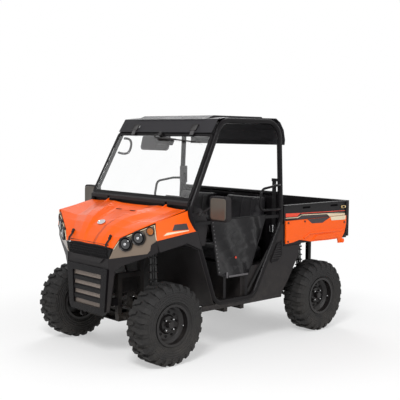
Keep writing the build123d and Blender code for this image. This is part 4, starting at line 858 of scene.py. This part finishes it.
def makeSeals():
    start, end, count = Vector(seal["from"]), Vector(seal["to"]), seal["steps"]
    spots = [start.lerp(end, step / count) for step in range(count + 1)]
    rubber = addTube("doorSealLeft", spots, seal["radius"], smooth=False, sides=2)
    run = (end - start).normalized()
    for vertex in rubber.data.vertices:
        along = (vertex.co - start).dot(run)
        if round(along * count / (end - start).length) % 2:    # every other ring is drawn in
            middle = start + run * along
            vertex.co = middle + (vertex.co - middle) * seal["waist"]
    copyAcross(finishPiece(rubber, "tyreRubber", smooth=20))

makeSeals()
print("seals made")

# ---- side panel vents: a framed plate with slats
vent = {"outline": ((0.32, 0.887), (0.323, 0.767), (0.262, 0.715), (0.17, 0.716), (0.187, 0.752),
                    (0.262, 0.88)),
        "face": 0.6962, "thick": 0.003, "steps": ((0.007, 0.001), (0.002, -0.0032)), "bars": 6, "lowest": 0.745,
        "pitch": 0.021, "lean": (0.196, 0.752, 0.58), "rear": 0.308, "barLift": 0.0018, "bar": (0.0026, 0.007),
        "barSteps": ((0.0012, 0.0008),)}

def makeVents():
    plate = addPlate("sideVentLeft", [(vent["face"], y, z) for y, z in vent["outline"]], left, vent["thick"])
    slats = [finishPiece(insetSide(plate, left, vent["steps"]), "powderCoat", bevel=0.0008)]
    thick, high = vent["bar"]
    y, z, slope = vent["lean"]
    for step in range(vent["bars"]):
        lift = vent["lowest"] + step * vent["pitch"]
        low = y + (lift - z) * slope
        slats.append(makeBlock("ventBar", (vent["face"] + vent["barLift"], (low + vent["rear"]) / 2, lift),
                               (thick, vent["rear"] - low, high), left, vent["barSteps"], "mouldedBlack"))
    copyAcross(joinPieces(slats, "sideVentLeft"))

makeVents()
print("side vents made")

# ---- single fittings; those named Left are on both sides
fittings = {
    # blocks: centre, size, side that is inset, its steps, finish; discs: centre, axis, sizes, steps, finish
    # a dark rubber strip filling the gap under the hood's front edge: painted shade for that gap
    "hoodLip": (makeBlock, (0, -1.2955, 0.9385), (0.544, 0.009, 0.029), ahead, ((0.004, -0.001),), "tyreRubber",
                {"body": "hood", "bevel": 0.001}),
    "mirrorGlassLeft": (makeBlock, (0.8775, -0.615, 1.251), (0.172, 0.004, 0.168), behind, ((0.006, -0.001),),
                        "mirrorFace", {"slotName": "clear_glass", "bevel": 0.001, "corner": (behind, 0.026)}),
    "netPullLeft": (makeDisc, (0.678, -0.251, 0.799), left, (0.009, 0.008, 20),
                    ((0.002, 0.0015), (0.003, -0.001)), "stripeRed", {"slotName": "webbing", "bevel": 0.001}),
    "sillLeft": (makeBlock, (0.677, -0.17, 0.402), (0.02, 1.02, 0.044), left, ((0.01, 0.004),), "mouldedBlack",
                 {"bevel": 0.004, "segments": 3}),
    "bedBossLeft": (makeDisc, (0.7035, 1.205, 0.826), left, (0.022, 0.01, 32),
                    ((0.005, 0.002), (0.005, -0.004)),
                    "hoodPaint", {"body": "cargo_bed", "slotName": "orange_panel", "bevel": 0.001}),
    "bedSkirtLeft": (makeBlock, (0.6685, 0.492, 0.858), (0.024, 0.235, 0.05), left, ((0.008, -0.002),),
                     "bedSteel", {"body": "cargo_bed", "slotName": "black_steel", "bevel": 0.003}),
    "catchPlateLeft": (makeBlock, (0.6904, 1.228, 1.155), (0.005, 0.07, 0.028), left,
                       ((0.005, 0.003), (0.004, -0.003)), "brassPlate",
                       {"body": "cargo_bed", "slotName": "bare_steel", "bevel": 0.002, "corner": (left, 0.01)}),
    "catchHookLeft": (makeDisc, (0.6949, 1.228, 1.155), left, (0.01, 0.012, 24),
                      ((0.003, 0.002), (0.003, -0.003)),
                      "stripeBlack", {"body": "cargo_bed", "slotName": "bare_steel", "bevel": 0.001}),
    "beltBuckleLeft": (makeBlock, (0.598, 0.29, 1.0), (0.048, 0.018, 0.07), ahead,
                       ((0.008, 0.004), (0.004, -0.004)), "brightMetal",
                       {"slotName": "bare_steel", "bevel": 0.004, "segments": 3}),
    "sunVisor": (makeBlock, (-0.285, -0.35, 1.765), (0.4, 0.016, 0.145), behind, ((0.012, 0.003),), "visorGrey",
                 {"turn": lean(-14), "corner": (behind, 0.035), "twoSided": True, "bevel": 0.006,
                  "segments": 3}),
    "pillarBox": (makeBlock, (-0.64, 0.322, 1.44), (0.06, 0.05, 0.17), ahead, ((0.008, 0.01),), "visorGrey",
                  {"bevel": 0.006, "segments": 3}),
    "airBox": (makeBlock, (-0.1, -0.84, 0.515), (0.14, 0.3, 0.19), left, ((0.025, 0.012), (0.012, -0.006)),
               "mouldedBlack", {"bevel": 0.012, "segments": 3}),
    # tubes: points, radius, finish
    "grabHandle": (makeTube, ((-0.6, -0.47, 1.8), (-0.6, -0.415, 1.8), (-0.6, -0.385, 1.762),
                              (-0.6, -0.395, 1.7), (-0.6, -0.43, 1.656), (-0.6, -0.5, 1.655),
                              (-0.6, -0.54, 1.668)), 0.011, "visorGrey", {"sides": 4}),
    "headerSeal": (makeTube, ((-0.6, -0.478, 1.862), (0, -0.48, 1.866), (0.6, -0.478, 1.862)), 0.013,
                   "tyreRubber", {})}

def makeFittings():
    for name, (make, *form, finish) in fittings.items():
        piece = make(name, *form, **finish)
        if name.endswith("Left"):
            copyAcross(piece, finish.get("body", "chassis"))

makeFittings()
print("fittings made")

# ---- dash: instrument hood, switches and a shift lever
dashBlocks = {    # places, size, inset steps, finish, tilt, edge and its segments
    "instrumentPod": ([(0.35, -0.615, 1.275)], (0.24, 0.12, 0.07), ((0.012, 0), (0.003, -0.012)),
                      "mouldedBlack", -18, 0.01, 3),
    "dashSwitch": ([(x, -0.555, 1.185) for x in (-0.1, -0.04, 0.02, 0.08)], (0.034, 0.016, 0.052),
                   ((0.005, 0.004),), "wheelBlack", 0, 0.002, 2)}
shifter = {"lever": ((0.02, -0.56, 1.06), (0.03, -0.49, 1.1), (0.04, -0.44, 1.16)), "radius": 0.009,
           "knob": ((0.045, -0.432, 1.175), (0.1, 0.5, 0.8), (0.021, 0.042, 28),
                    ((0.004, 0.006), (0.005, 0.003)))}

def makeDashTrim():
    parts = []
    for name, (places, size, steps, paint, tilt, edge, segments) in dashBlocks.items():
        parts += [makeBlock(name, place, size, behind, steps, paint, lean(tilt), bevel=edge, segments=segments)
                  for place in places]
    parts += [makeTube("shiftLever", shifter["lever"], shifter["radius"], "darkSteel", sides=4),
              makeDisc("shiftKnob", *shifter["knob"], "wheelBlack", bevel=0.005, segments=3)]
    joinPieces(parts, "dashControls")

makeDashTrim()
print("dash made")

# ---- wheels: bright nut ends, holes, cap ring and valve, made once at the origin
wheelDiscs = {    # count, first angle in degrees, circle, distance out, sizes, inset steps, finish, edge
    "studEnd": (4, 45, 0.055, 0.0535, (0.006, 0.01, 16), ((0.0015, 0.001), (0.002, -0.001)), "brightMetal",
                0.0006),
    "rimHole": (10, 9, 0.098, 0.0225, (0.011, 0.006, 20), ((0.002, 0.001), (0.0015, -0.003)), "powderCoat", 0),
    "hubCap": (1, 0, 0, 0.0715, (0.026, 0.005, 40), ((0.003, 0.003), (0.004, -0.002), (0.008, 0.001)),
               "wheelBlack", 0.0008)}
valve = {"line": ((0.05, 0.128, -0.02), (0.066, 0.126, -0.02), (0.078, 0.122, -0.019)), "radius": 0.0042}
wheels = {    # side and axle of each
    "wheel_front_left": (0.635, -1.0), "wheel_front_right": (-0.635, -1.0), "wheel_rear_left": (0.635, 0.854),
    "wheel_rear_right": (-0.635, 0.854)}
axleHeight = 0.33

def makeWheelTrim():
    parts = []
    for name, (count, first, circle, out, sizes, steps, paint, edge) in wheelDiscs.items():
        for index in range(count):
            angle = math.radians(first + 360 * index / count)
            place = (out, circle * math.cos(angle), circle * math.sin(angle))
            parts.append(makeDisc(name, place, left, sizes, steps, paint, bevel=edge))
    parts.append(makeTube("tyreValve", valve["line"], valve["radius"], "brightMetal", sides=2))
    master = joinPieces(parts, "wheelTrim")
    for body, (x, y) in wheels.items():
        turn = Matrix.Rotation(0 if x > 0 else math.pi, 4, "Z")
        trim = copyPiece(master, "trim_" + body, Matrix.Translation((x, y, axleHeight)) @ turn)
        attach(trim, body)
    bpy.data.objects.remove(master)

makeWheelTrim()
print("wheel trim made")
